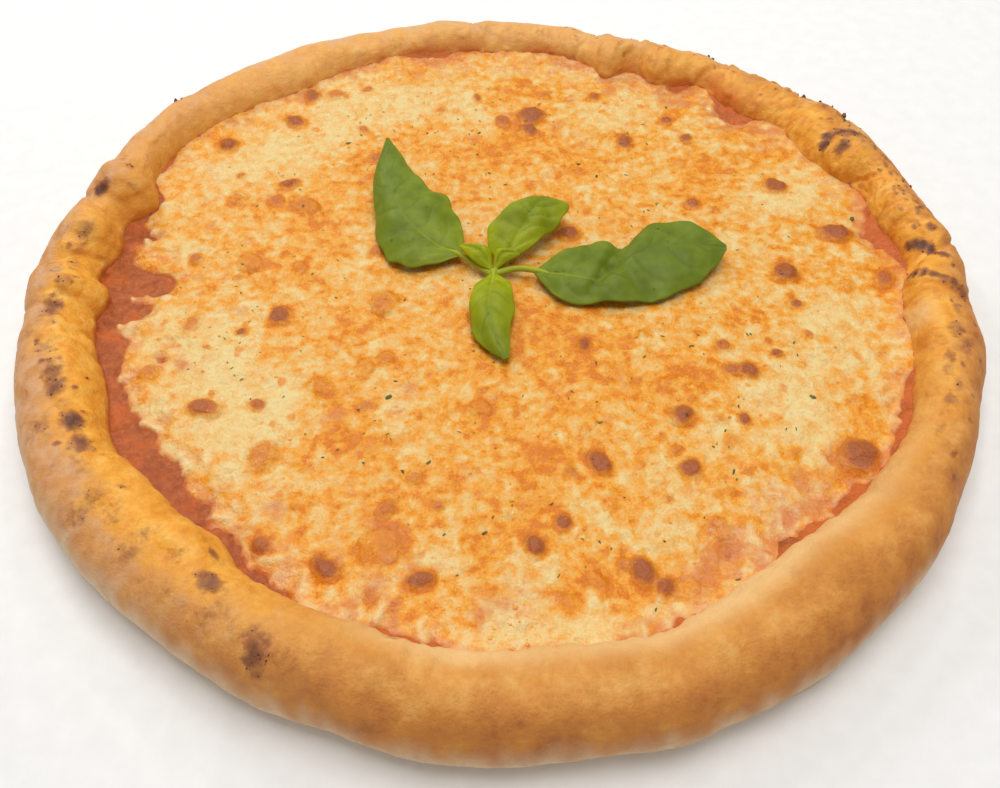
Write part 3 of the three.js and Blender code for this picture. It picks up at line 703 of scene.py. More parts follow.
under_shares = [0.992, 0.975, 0.95, 0.9, 0.84, 0.78, 0.7, 0.62, 0.54, 0.46, 0.38, 0.3, 0.22, 0.14, 0.07]
under_counts = [1080, 540, 540, *[270] * 7, *[135] * 5]
floor_shares, few_counts = [0.97, 0.9, 0.7, 0.3], [540, 270, 135, 135]
floor_level = surface[0, 0, 2]
underside = inward_rings(surface[:, -1], under_shares, under_counts, 0.0)[::-1]
floor = inward_rings(surface[:, 0], floor_shares, few_counts, floor_level)
wall = [surface[:, number] for number in range(surface.shape[1] - 1, -1, -1)]
end = np.zeros((1, 3))
rings = [end, *underside, *wall, *floor, end + (0, 0, floor_level)]
crust_faces = join_rings([len(ring) for ring in rings])
before = 1 + sum(under_counts)
after = sum(few_counts) + 1
in_ring_order = np.arange(len(rim_points)).reshape(surface.shape[:2]).T[::-1].ravel()
crust_masks = {name: np.concatenate([np.zeros(before), values[in_ring_order], np.zeros(after)])
               for name, values in rim_masks.items()}
crust_masks["flour"][:before] = 0.9
crust_masks["golden"][:before] = 0.6
crust = add_piece("crust_baked", np.concatenate(rings), crust_faces, dough, crust_masks)
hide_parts("crust")

# %% [markdown]
# ## Tomato sauce
# Crushed tomato with oil: moist and coarse, with pulp lumps of one to four millimetres. It shows as
# a band between the cheese and the rim, and climbs the rim a little, most where no broad band is
# bare. Under the cheese it only needs to be there, so its rings are few and plain.

# %% Sauce piece
sauce_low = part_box("sauce")[0][2] / MM
SAUCE_LEVEL, CREEP, CLIMB = 7.3, 1.3, 2.4
under_cheese = 7.0
left_share = np.clip(2.4 * hump(degrees_round, 205, 62), 0, 1)


def climb_at(beyond_flank, left):
    """How far sauce and cheese climb towards the rim, in mm; not where the left band is."""
    return CLIMB * smooth_step(beyond_flank, -7, 1.5) * (1 - left)


wall_radius = flank + 3
bare_from = cheese_edge - 6
sauce_steps = 32
top = []
for number in range(sauce_steps + 1):
    share = number / sauce_steps
    out = wall_radius + (bare_from - wall_radius) * share
    place = np.stack([out * np.cos(turned[:, 0]), out * np.sin(turned[:, 0]), np.zeros(around)], 1)
    pulp = lumps_together(place, (0.35, 3.2, 21), (0.22, 1.5, 22)) + 0.12 * np.abs(lumps(place, 0.9, 23))
    place[:, 2] = SAUCE_LEVEL + (1 - share) ** 3 * CREEP + climb_at(out - flank, left_share) + pulp
    top.append(place)
inner = inward_rings(top[-1], [0.96, 0.88, 0.7, 0.4], few_counts, under_cheese)
lower_edge = top[0].copy()
lower_edge[:, 2] = sauce_low
under_few = [0.97, 0.9, 0.6, 0.3]
lower = inward_rings(lower_edge, under_few, few_counts, sauce_low)[::-1]
rings = [end + (0, 0, sauce_low), *lower, lower_edge, *top, *inner, end + (0, 0, under_cheese)]
sauce_faces = join_rings([len(ring) for ring in rings])
sauce_all = np.concatenate(rings)
oily_sauce = 1 - at_angle(left_share, to_polar(sauce_all)[0])
print("the sauce has", sauce_steps + 1, "rings on top")

# %% [markdown]
# The material is glossy where oil and juice lie, and duller on the pulp. A typical refractive index
# for oil and tomato is 1.4 to 1.47.

# %% Sauce material
tomato_sauce, shader = new_material("crushed tomato sauce")
where = add_node(tomato_sauce, "TexCoord").outputs["Object"]
PULP_MM, POOL_MM = 2.2, 9.0
pulp = add_node(tomato_sauce, "TexNoise", {"Vector": where, "Scale": 1000 / PULP_MM, "Detail": 5.0,
                                           "Roughness": 0.65})
patch = add_node(tomato_sauce, "TexNoise", {"Vector": where, "Scale": 1000 / POOL_MM, "Detail": 3.0})
red = add_node(tomato_sauce, "ValToRGB", {"Fac": pulp})
set_stops(red, [(0.25, "#8f4016"), (0.5, "#ae5926"), (0.75, "#c47238")])
oily_here = add_node(tomato_sauce, "Attribute", attribute_name="oily").outputs["Fac"]
patchy = add_node(tomato_sauce, "Math", {0: oily_here, 1: 0.2, 2: patch}, operation="MULTIPLY_ADD")
orange_oil = add_node(tomato_sauce, "MapRange", {"Value": patchy, "From Min": 0.5, "From Max": 0.75,
                                                 "To Max": 0.75})
sauce_colour = add_node(tomato_sauce, "Mix", {"Factor": orange_oil, "A": red, "B": linear("#d66c28")},
                        data_type="RGBA")
sheen = add_node(tomato_sauce, "MapRange", {"Value": pulp, "From Min": 0.35, "From Max": 0.65,
                                            "To Min": 0.1, "To Max": 0.34})
pulp_bump = add_node(tomato_sauce, "Bump", {"Height": pulp, "Distance": 0.0012, "Strength": 0.7})
connect(shader, {"Base Color": sauce_colour, "Roughness": sheen, "Normal": pulp_bump, "IOR": 1.45,
                 "Specular IOR Level": 0.3, "Subsurface Weight": 0.15,
                 "Subsurface Radius": (1.0, 0.25, 0.1), "Subsurface Scale": 0.001})
sauce = add_piece("sauce_moist", sauce_all, sauce_faces, tomato_sauce, {"oily": oily_sauce})
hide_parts("sauce")

# %% [markdown]
# ## Melted cheese: its shape
# Shredded mozzarella melts into one sheet, but the shreds still show as low ridges, pale where they
# lie on top. Steam lifts domes that scorch on top, the blisters. The sheet is thin at its ragged
# edge. One function gives the height of the cheese at any place, and the blisters, the flecks and
# the leaves all ask it where the surface is.

# %% Blisters
# Middle x, middle y, diameter, and how strongly it is browned.
blisters = [
    (-79, 88, 8.5, 0.9), (-102, 73, 9, 1.0), (-74, 104, 8, 0.9), (-65, 105, 8, 0.5), (-53, 109, 5, 0.6),
    (-52, 83, 5, 0.6), (-23, 95, 5, 0.5), (-9, 103, 4, 0.7), (-76, 51, 7, 0.9), (-94, 56, 4, 0.5),
    (-79, 42, 6, 0.6), (-69, 39, 10, 0.5), (-93, 43, 7, 0.3), (-102, 13, 5, 0.6), (-83, 10, 9, 0.4),
    (-123, 17, 7, 0.5), (-70, -13, 8, 1.0), (-97, -17, 6, 0.5), (-105, 0, 6, 0.3), (-81, -20, 4, 0.9),
    (-37, -8, 10, 0.45), (-42, 16, 6, 0.5), (-106, -36, 7, 0.5), (-66, 8, 5, 0.4), (-46, 66, 5, 0.6),
    (-41, -35, 7, 0.35), (-53, -42, 7.5, 0.35), (-35, -31, 5.5, 0.45), (12, 91, 11, 1.0),
    (11, 83, 7.5, 0.9), (1, 88, 7, 0.7), (17, 105, 5.5, 0.5), (37, 104, 5.5, 0.8), (47, 75, 7, 1.0),
    (64, 89, 5.5, 0.9), (70, 77, 5.5, 0.9), (99, 50, 8, 1.0), (115, 25, 10, 1.0), (94, 6, 9, 1.0),
    (68, 40, 5.5, 0.8), (75, 37, 4, 0.5), (95, -8, 5, 0.9), (113, 0, 5, 0.35), (126, 3, 8, 0.8),
    (24, 25, 8, 1.0), (26, -25, 5.5, 0.9), (96, -21, 4, 0.5), (83, -24, 3, 0.6), (85, -29, 4, 0.8),
    (75, -36, 7, 1.0), (69, -26, 5.5, 0.7), (70, -35, 6, 0.7), (117, -29, 4, 0.4), (45, -21, 4, 0.3),
    (-87, -50, 8, 0.8), (-71, -49, 6, 0.7), (-67, -67, 10, 0.45), (-45, -102, 8.5, 1.0),
    (-20, -105, 7, 0.9), (-63, -95, 6, 0.8), (-31, -84, 6, 0.6), (-17, -83, 4, 0.5), (-24, -74, 5, 0.5),
    (-39, -49, 6, 0.5), (-6, -50, 7, 0.3), (-32, -95, 13, 0.3), (-33, -109, 4, 0.6),
    (-61, -103, 3.5, 0.7), (-54, -109, 5, 0.5), (53, -52, 8, 1.0), (71, -54, 4.5, 0.9),
    (28, -69, 7.5, 1.0), (53, -71, 7, 1.0), (20, -72, 4, 0.6), (17, -88, 5, 1.0), (9, -95, 6.5, 1.0),
    (101, -67, 12, 1.0), (37, -103, 8.5, 1.0), (42, -107, 6.5, 0.9), (32, -101, 5, 0.5),
    (50, -65, 4, 0.5), (46, -81, 3, 0.5), (59, -90, 6.5, 0.3), (48, -107, 6, 0.35),
    (18, -111, 5.5, 0.35), (25, -106, 6, 0.35), (66, -62, 5, 0.35), (64, -54, 3.5, 0.4),
    (83, -66, 4, 0.4), (105, -47, 5, 0.35), (69, -73, 3, 0.5), (24, -58, 4, 0.35), (30, -83, 4, 0.35),
    (63, -78, 3, 0.4),
]
print("there are", len(blisters), "blisters placed by hand")

# %% [markdown]
# The shreds and the small blisters are strewn by rule over the whole disc. A power of a half spreads
# places evenly over it, and a smaller one puts more of them near the edge, where shreds stay whole.

# %% Shreds and small blisters by rule


def strewn(chance, count, reach, power=0.5):
    """Places strewn over a disc by chance, as their x and y."""
    radius = reach * chance.random(count) ** power
    turn = chance.random(count) * 2 * pi
    return radius * np.cos(turn), radius * np.sin(turn)


chance = np.random.default_rng(7)
shred_count, small_count = 520, 560
# Shreds: x, y, turn, length, width and bend. Small blisters are listed like the ones given above.
shreds = np.stack([*strewn(chance, shred_count, 126, 0.42), chance.random(shred_count) * pi,
                   chance.uniform(3, 9, shred_count), chance.uniform(1.2, 2.2, shred_count),
                   chance.uniform(-0.06, 0.06, shred_count)], 1)
small_blisters = np.stack([*strewn(chance, small_count, 120), 1.0 + 2.4 * chance.random(small_count) ** 2,
                           chance.uniform(0.15, 0.6, small_count)], 1).tolist()
print("strewn are", len(shreds), "shreds and", len(small_blisters), "small blisters")

# %% Reading shreds and blisters at points


def near(points, x, y, reach):
    """The numbers of the points that lie within reach of a place, and their offsets from it."""
    found = np.flatnonzero((np.abs(points[:, 0] - x) < reach) & (np.abs(points[:, 1] - y) < reach))
    return found, points[found, 0] - x, points[found, 1] - y


def read_shreds(points):
    """How much each point lies on a shred, from 0 to 1."""
    amount = np.zeros(len(points))
    for x, y, turn, length, width, bend in shreds:
        found, dx, dy = near(points, x, y, length)
        u = dx * cos(turn) + dy * sin(turn)
        v = dy * cos(turn) - dx * sin(turn) + bend * u * u
        away = np.maximum(np.abs(u) - length / 2 + width, 0) ** 2 + v ** 2
        amount[found] = np.maximum(amount[found], np.exp(-2.2 * away / width ** 2))
    return amount


def read_blisters(points, placed):
    """Dome height in mm, browning, oily ring and singed edge, with painted shade on its far side, at
    points.
    """
    height = np.zeros(len(points))
    brown = np.zeros(len(points))
    ring = np.zeros(len(points))
    line = np.zeros(len(points))
    ground = points * (1, 1, 0)
    uneven = 0.2 * lumps(ground, 5, 31) + 0.07 * lumps(ground, 2, 32)
    for x, y, diameter, strength in placed:
        found, dx, dy = near(points, x, y, 1.3 * diameter)
        turn, stretch = x * 0.7 + y * 1.3, 1.12 + 0.12 * sin(x + 2 * y)
        u = (dx * cos(turn) + dy * sin(turn)) / stretch
        v = (dy * cos(turn) - dx * sin(turn)) * stretch
        away = 2 * np.hypot(u, v) / diameter + uneven[found]
        dome = 0.21 * diameter * bubble_height(away)
        moat = 0.25 * np.exp(-((away - 1.12) / 0.14) ** 2)
        height[found] = np.maximum(height[found], dome * (0.4 + 0.6 * strength)) - moat * strength
        brown[found] = np.maximum(brown[found], strength * (1 - smooth_step(away, 0.5, 1.12)))
        ring[found] = np.maximum(ring[found], (0.4 + 0.6 * strength) * (1 - smooth_step(away, 0.95, 1.7)))
        # The line round a dome is partly singeing and partly painted shade: it is darker on the far side,
        # where the back edge of a dome is in shade.
        singed_and_shaded_edge = np.exp(-((away - 0.9) / 0.14) ** 2) * np.clip(0.5 + dy / diameter, 0, 1)
        line[found] = np.maximum(line[found], strength * singed_and_shaded_edge)
    return height, brown, ring, line


print("the middle lies on a shred by", round(float(read_shreds(np.zeros((1, 3)))[0]), 2))

# %% [markdown]
# The sheet of cheese reaches to the rim all round, but where no cheese is, it dips under the sauce.
# So its visible edge is where the two surfaces cross, which gives fingers, holes and small islands
# without any cutting. The cover is how far a place is inside the cheese, and is negative outside.

# %% Cover of the cheese
# Places where the sauce shows through a hole: x, y, reach, depth.
holes = [(-112, 2, 5, 8), (-119, 5, 4, 5), (-104, -30, 2.5, 3.5), (60, -97, 2.5, 3)]
# Gaps at the rim where sauce shows: angle, spread in degrees, how far they reach in.
gaps = [
    (103, 6, 2.5), (57, 3, 4), (46, 7, 6), (11, 10, 7), (336, 12, 4.5), (320, 6, 3.5), (311, 8, 4.5),
    (290, 8, 2.5), (259, 10, 3), (273, 6, 2),
]
# Places where sauce has washed over the edge of the cheese, given in the same way.
washes = [
    (138, 5, 6), (126, 6, 9), (117, 6, 5), (103, 11, 8), (92, 5, 6), (78, 7, 7), (64, 8, 9), (57, 4, 13),
    (46, 11, 14), (36, 8, 7), (11, 13, 9), (324, 8, 9), (313, 12, 10), (286, 5, 6), (254, 5, 14),
]
melt_edge = flank + 2.5
for at, spread, depth in gaps:
    melt_edge = melt_edge - (depth + 1) * hump(degrees_round, at, spread)
wash_reach = np.zeros(around)
for at, spread, depth in washes:
    wash_reach = np.maximum(wash_reach, depth * hump(degrees_round, at, spread) ** 0.6)
melt_edge = left_share * cheese_edge + (1 - left_share) * melt_edge


def read_cover(points):
    """How far inside the cheese each point is, in millimetres, ragged and with holes."""
    ground = np.asarray(points, float) * (1, 1, 0)
    angle, radius = to_polar(ground)
    cover = at_angle(melt_edge, angle) - radius
    cover += lumps_together(ground, (2.0, 10, 51), (1.5, 4.5, 52), (0.7, 2.2, 53))
    cover += 2.2 * read_shreds(ground)
    for x, y, reach, depth in holes:
        found, dx, dy = near(ground, x, y, 3 * reach)
        cover[found] = np.minimum(cover[found], 6) - 2 * depth * np.exp(-(dx * dx + dy * dy) / reach ** 2)
    return cover


print("the cheese reaches", round(melt_edge.min()), "to", round(melt_edge.max()), "mm from the middle")

# %% Height of the cheese
CHEESE_LEVEL, LIP, DEEPEST = 9.7, 0.8, 6.3


def cheese_height(points):
    """The top of the cheese in millimetres at places given in millimetres."""
    ground = np.asarray(points, float) * (1, 1, 0)
    angle, radius = to_polar(ground)
    cover = read_cover(ground)
    lip = LIP * (1 - np.exp(-np.maximum(cover, 0) / 1.1))
    full = smooth_step(cover, 0, 9)
    soft = lumps_together(ground, (0.35, 19, 41), (0.38, 8, 42), (0.3, 3.2, 43), (0.18, 1.9, 44))
    climbs = climb_at(radius - at_angle(flank, angle), at_angle(left_share, angle))
    height = SAUCE_LEVEL + climbs + 0.45 * np.minimum(cover, 0) + lip
    height += full * (CHEESE_LEVEL - SAUCE_LEVEL - LIP + soft) + 0.45 * read_shreds(ground) * (cover > 0)
    domes = read_blisters(ground, blisters)[0] + 0.6 * read_blisters(ground, small_blisters)[0]
    return np.maximum(height + domes * smooth_step(cover, 0, 2), DEEPEST)


print("in the middle the cheese is", round(float(cheese_height(np.zeros((1, 3)))[0]), 1), "mm up")

# %% [markdown]
# ## Melted cheese: its colours
# Where fat has run out, the cheese is stained orange by tomato and oil; thick fresh melt is creamy;
# and where it is thin the sauce shows through in pink. The broad areas are set after the real one,
# and noise breaks their borders.

# %% Broad areas
# Middle x, middle y, reach, amount: creamy ones are positive and orange ones negative.
areas = [
    (-85, 75, 18, 0.8), (-58, 97, 20, 0.9), (-33, 104, 14, 0.8), (-12, 108, 10, 0.5),
    (-100, 55, 12, 0.7), (-76, 62, 10, 0.5), (-110, 40, 9, 0.5), (-90, -47, 20, 1.0),
    (-102, -20, 12, 0.9), (-72, -56, 12, 0.8), (-85, -28, 12, 0.9), (-64, -45, 8, 0.7),
    (-72, -74, 7, 0.5), (45, 92, 14, 0.6), (25, 93, 8, 0.4), (105, 46, 13, 0.8), (88, 45, 8, 0.5),
    (120, 30, 5, 0.6), (90, -46, 14, 0.7), (74, -45, 9, 0.7), (85, -62, 10, 0.6), (62, -62, 9, 0.7),
    (46, -76, 9, 0.7), (106, -15, 12, 0.8), (110, -32, 8, 0.6), (86, 0, 7, 0.5), (22, -118, 7, 0.8),
    (46, -92, 8, 0.6), (-45, 2, 7, 0.4), (-60, -12, 7, 0.4), (-110, 20, 7, 0.4), (10, -118, 5, 0.4),
    (-60, 70, 6, 0.3), (62, 65, 8, 0.3), (-73, 42, 9, -0.6), (-60, 28, 10, -0.6), (-76, 10, 11, -0.8),
    (-95, 25, 8, -0.3), (0, 68, 17, -0.6), (24, 70, 12, -0.5), (75, 62, 14, -0.5), (0, -30, 20, -0.5),
    (30, -22, 16, -0.6), (42, -42, 14, -0.7), (60, -38, 11, -0.8), (80, -14, 9, -0.8),
    (10, -68, 14, -0.8), (12, -86, 9, -0.7), (-8, -52, 11, -0.7), (-28, -70, 11, -0.5),
    (-46, -60, 8, -0.8), (-30, -93, 7, -1.0), (25, -104, 6, -0.9), (-52, -46, 4, -0.8),
    (80, -75, 7, -0.8), (107, -52, 7, -0.7), (-102, -28, 4, -0.9), (-56, 62, 8, -0.6),
    (38, 58, 12, -0.4), (12, 40, 10, -0.5), (45, 30, 12, -0.3), (-20, 58, 12, -0.4), (98, 70, 9, -0.7),
    (66, 92, 6, -0.5),
]
# Middle x, middle y, reach, amount: where the sauce shows through thin cheese.
thin_areas = [
    (-45, 122, 10, 0.8), (-20, 124, 12, 0.8), (5, 124, 12, 0.9), (28, 122, 12, 0.9), (52, 112, 10, 1.0),
    (66, 100, 9, 0.9), (96, 76, 9, 0.9), (118, 45, 7, 0.5), (-122, 22, 9, 0.9), (-108, 62, 8, 0.5),
    (-88, 90, 8, 0.6), (-30, -45, 9, 0.9), (-42, -82, 9, 0.5), (-30, -106, 7, 0.7), (-55, -100, 8, 0.7),
    (62, -96, 10, 0.8), (78, -80, 8, 0.7), (6, -108, 8, 0.9), (45, -100, 6, 0.5), (112, -42, 8, 0.7),
    (-78, -72, 7, 0.6), (-96, -32, 4, 0.8), (-80, 44, 4, 0.5), (30, 76, 6, 0.5), (-50, -30, 8, 0.4),
    (-86, 22, 6, 0.5), (68, -85, 7, 0.7), (0, 15, 10, 0.3), (35, 60, 6, 0.4), (-112, -15, 4, 0.5),
    (-72, -88, 12, 0.6), (88, -78, 8, 0.8),
]
# Middle x, middle y, reach, amount: where sauce has seeped up through the cheese.
seep_areas = [
    (-30, -92, 8, 0.9), (-48, -52, 4, 0.9), (60, -97, 8, 1.0), (52, -105, 6, 0.8), (-97, -33, 4, 0.9),
    (22, 82, 7, 0.6), (4, 93, 7, 0.5), (-20, -101, 6, 0.6), (70, 101, 7, 0.9), (30, 74, 5, 0.6),
    (-44, -101, 5, 0.6), (-2, -113, 7, 0.8), (94, -68, 5, 0.7), (-80, 44, 6, 0.5), (12, 112, 8, 0.5),
    (-35, 118, 7, 0.6), (44, 108, 6, 0.7), (84, -76, 6, 0.7), (-8, -74, 5, 0.5), (36, -38, 5, 0.5),
    (-100, 30, 5, 0.6), (-60, -84, 5, 0.7), (18, -30, 5, 0.4), (66, 62, 6, 0.4), (-84, -10, 4, 0.5),
]


def read_areas(points, placed):
    """Adds up soft round areas at points."""
    amount = np.zeros(len(points))
    for x, y, reach, strength in placed:
        found, dx, dy = near(points, x, y, 2 * reach)
        amount[found] += strength * np.exp(-(dx * dx + dy * dy) / reach ** 2 * 1.2)
    return np.clip(amount, -1, 1)


print("there are", len(areas) + len(thin_areas) + len(seep_areas), "soft areas")

# %% [markdown]
# The sheet is a stack of rings a little under a millimetre apart, about as fine as the steps round
# the rim. Inward the rings have fewer points, which keeps the mesh under 200,000 triangles.

# %% Cheese piece
ring_width = 0.9
outer_edge = flank + 3.6
# Points in a ring, for as long as its share of the outer edge is above a limit.
ring_counts = ((0.6, 1080), (0.3, 540), (0.15, 270), (0, 135))
shares, counts = [], []
share = 1.0
while share > 0.02:
    shares.append(share)
    counts.append(next(count for limit, count in ring_counts if share > limit))
    share -= ring_width / outer_edge.mean()
cheese_top = []
for share, count in zip(shares, counts):
    out = share * outer_edge[::around // count]
    turn = turned[::around // count, 0]
    cheese_top.append(np.stack([out * np.cos(turn), out * np.sin(turn), np.zeros(count)], 1))
cheese_top.append(np.zeros((1, 3)))
top_points = np.concatenate(cheese_top)
top_points[:, 2] = cheese_height(top_points)
cheese_low = 6.0
under_ring = cheese_top[0].copy()
under_ring[:, 2] = cheese_low
under = inward_rings(under_ring, under_few, few_counts, cheese_low)[::-1]
start = [end + (0, 0, cheese_low), *under, under_ring]
cheese_all = np.concatenate([*start, top_points])
cheese_faces = join_rings([len(ring) for ring in start] + [len(ring) for ring in cheese_top])
print("the cheese is", round(cheese_all[:, 2].max(), 1), "mm high at its highest blister")

# %% Cheese masks: stained, thin and browned
ground = cheese_all * (1, 1, 0)
cover = read_cover(ground)
brown_big, brown_small = read_blisters(ground, blisters), read_blisters(ground, small_blisters)
brown = np.maximum(1.15 * brown_big[1], 0.85 * brown_small[1])
oily_ring = np.maximum(brown_big[2], 0.5 * brown_small[2])
on_shred = read_shreds(ground)
broad = read_areas(ground, areas)
drawn_sideways = ground * (0.92, 1.08, 1)
mottling = 0.55 * lumps(ground, 17, 60) + lumps_together(
    drawn_sideways, (0.75, 7, 61), (1.0, 3.4, 62), (0.75, 1.8, 63))
stained = 0.48 - 0.4 * broad + 0.3 * mottling * (1 - 0.5 * np.maximum(broad, 0)) + 0.36 * oily_ring
stained -= 0.26 * (on_shred - 0.35)
thin = 0.6 * read_areas(ground, thin_areas) + 0.5 * (1 - smooth_step(cover, 1, 10))
thin += lumps_together(ground, (0.45, 6, 64), (0.3, 2.5, 65)) - 0.35 * on_shred
print("stained by more than a half are", round(100 * float((stained > 0.5).mean())), "% of the points")

# %% Cheese masks: washed over and frayed
ground_angle, ground_radius = to_polar(ground)
from_rim = at_angle(flank, ground_angle) - ground_radius
from_rim += lumps_together(ground, (2.2, 6, 67), (1.2, 2.5, 68))
reached = at_angle(wash_reach, ground_angle)
wash = smooth_step(reached - from_rim, -2.5, 2.5) * (reached > 0.5)
wash *= smooth_step(lumps_together(ground, (1, 5, 69), (0.6, 2.2, 79)), -0.5, 0.35)
seeped = read_areas(ground, seep_areas) + lumps_together(ground, (0.35, 4.5, 80), (0.25, 2, 81))
wash = np.maximum(wash, smooth_step(seeped, 0.25, 0.95))
edge_noise = cover + 0.8 * lumps(ground, 3, 66)
veil = (1 - smooth_step(edge_noise, 0.5, 4)) * smooth_step(lumps(ground, 3, 70), -0.4, 0.3)
cheese_masks = {"stained": np.clip(stained, 0, 1.2), "thin": np.clip(thin, 0, 1), "browned": brown,
                "singed_and_shaded_edge": 0.6 * brown_big[3], "strand": 0.6 * on_shred * (1 - smooth_step(cover, 3, 16)),
                "wash": 0.75 * wash, "fringe": 1 - smooth_step(edge_noise, 0.1, 1.6), "veil": veil}
for mask, values in cheese_masks.items():
    print("mask", mask, "averages", round(float(values.mean()), 2))

# %% [markdown]
# ## Melted mozzarella
# Milk fat and protein scatter light strongly, so the cheese glows softly, and a film of oil gives it
# a gloss that breaks up on the shreds. Its refractive index is near that of fat, 1.45.

# %% Cheese material: its patterns
mozzarella, shader = new_material("melted mozzarella")
where = add_node(mozzarella, "TexCoord").outputs["Object"]
mask = {name: add_node(mozzarella, "Attribute", attribute_name=name).outputs["Fac"]
        for name in cheese_masks}
FIBRE_MM, CURD_MM, PATCH_MM, SPOT_MM = 0.8, 2.0, 4.0, 5.0
fibre, curd, patch = [
    add_node(mozzarella, "TexNoise", {"Vector": where, "Scale": 1000 / size, "Detail": detail,
                                      "Roughness": rough, "Distortion": bent})
    for size, detail, rough, bent in ((FIBRE_MM, 3.0, 0.6, 0.0), (CURD_MM, 4.0, 0.6, 0.0),
                                      (PATCH_MM, 5.0, 0.58, 0.4))]
offset, offset_fibre = [add_node(mozzarella, "Math", {0: pattern, 1: 0.5}, operation="SUBTRACT")
                        for pattern in (patch, fibre)]
grainy, offset_thin, crisp = [
    add_node(mozzarella, "Math", {0: pattern, 1: amount, 2: mask[name]}, operation="MULTIPLY_ADD")
    for pattern, amount, name in ((offset_fibre, 0.9, "stained"), (offset, 1.4, "thin"),
                                  (offset_fibre, 0.5, "browned"))]
soaked, toast = [add_node(mozzarella, "Math", {0: offset, 1: amount, 2: base}, operation="MULTIPLY_ADD")
                 for amount, base in ((1.2, grainy), (0.45, crisp))]
print("the cheese reads", len(mask), "masks")

# %% [markdown]
# The fat goes from creamy to deep orange as it is more stained. Some cells of a cell pattern hold a
# round orange spot of oil, of a size drawn by the cell, which noise makes uneven.

# %% Cheese material: fat, thin places and spots
fat = add_node(mozzarella, "ValToRGB", {"Fac": soaked})
set_stops(fat, [(0.02, "#eed28e"), (0.24, "#eec880"), (0.46, "#eeb763"), (0.6, "#f0ab44"),
                (0.74, "#f09f24"), (0.88, "#ea9116"), (1.0, "#de7c06")])
thinness = add_node(mozzarella, "MapRange", {"Value": offset_thin, "From Min": 0.25, "From Max": 0.95,
                                             "To Max": 0.75}, interpolation_type="SMOOTHSTEP")
pink = add_node(mozzarella, "ValToRGB", {"Fac": curd})
set_stops(pink, [(0.3, "#d17c3c"), (0.48, "#e19c60"), (0.66, "#edc592")])
cells = add_node(mozzarella, "TexVoronoi", {"Vector": where, "Scale": 1000 / SPOT_MM})
lucky = add_node(mozzarella, "SeparateColor", {"Color": cells.outputs["Color"]})
spot_size = add_node(mozzarella, "MapRange", {"Value": lucky, "From Min": 0.5, "From Max": 1.0,
                                              "To Min": 0.0, "To Max": 0.36})
spot_edge = add_node(mozzarella, "Math", {0: spot_size, 1: cells.outputs["Distance"]}, operation="SUBTRACT")
spot_rough = add_node(mozzarella, "Math", {0: offset, 1: 0.9, 2: spot_edge}, operation="MULTIPLY_ADD")
spot = add_node(mozzarella, "MapRange", {"Value": spot_rough, "From Min": -0.06, "From Max": 0.16,
                                         "To Max": 0.75}, interpolation_type="SMOOTHSTEP")
print("the spots are up to", round(2 * 0.36 * SPOT_MM, 1), "mm wide")

# %% [markdown]
# As on the dough, every mark lies over the ones before it, and the scorched crowns of the blisters
# come nearly last. Only the frayed edge, where sauce soaks the thin cheese, lies over them.

# %% Cheese material: its colours
veiled = add_node(mozzarella, "Math", {0: mask["veil"], 1: curd}, operation="MULTIPLY")
toasted = add_node(mozzarella, "MapRange", {"Value": toast, "From Min": 0.12, "From Max": 0.6},
                   interpolation_type="SMOOTHSTEP")
crown = add_node(mozzarella, "ValToRGB", {"Fac": toast})
set_stops(crown, [(0.2, "#f0a026"), (0.45, "#e08a2c"), (0.75, "#ca702c"), (1.0, "#aa5c2a")])
cheese_layers = [
    (thinness, pink), (spot, linear("#e98d12")), (mask["wash"], linear("#d87c3c")),
    (veiled, linear("#e9a877")), (mask["strand"], linear("#f0d09c")), (toasted, crown),
    # The singed edge line of the blisters is partly painted shade on their far side.
    (mask["singed_and_shaded_edge"], linear("#9c5526")), (mask["fringe"], linear("#cd6f38")),
]
colour = fat
for amount, paint in cheese_layers:
    colour = add_node(mozzarella, "Mix", {"Factor": amount, "A": colour, "B": paint}, data_type="RGBA")
gloss = add_node(mozzarella, "MapRange", {"Value": curd, "From Min": 0.35, "From Max": 0.65,
                                          "To Min": 0.1, "To Max": 0.36})
fine_relief = add_node(mozzarella, "Bump", {"Height": fibre, "Distance": 0.0003, "Strength": 0.7})
relief = add_node(mozzarella, "Bump", {"Height": curd, "Distance": 0.0012, "Strength": 0.75,
                                       "Normal": fine_relief})
connect(shader, {"Base Color": colour, "Roughness": gloss, "Normal": relief, "IOR": 1.45,
                 "Specular IOR Level": 0.4, "Subsurface Weight": 0.12,
                 "Subsurface Radius": (1.0, 0.55, 0.25), "Subsurface Scale": 0.001})
cheese = add_piece("cheese_melted", cheese_all, cheese_faces, mozzarella, cheese_masks)
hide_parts("cheese")

# %% [markdown]
# ## Basil: leaves
# A basil leaf is a thin skin that bulges up between its veins. It is made as a skin across three
# guide lines, the rib and the two edges, which are the ones of the solid sprig, so the leaves lie
# exactly where the solid ones do. The veins and the bulges between them are then pressed in.

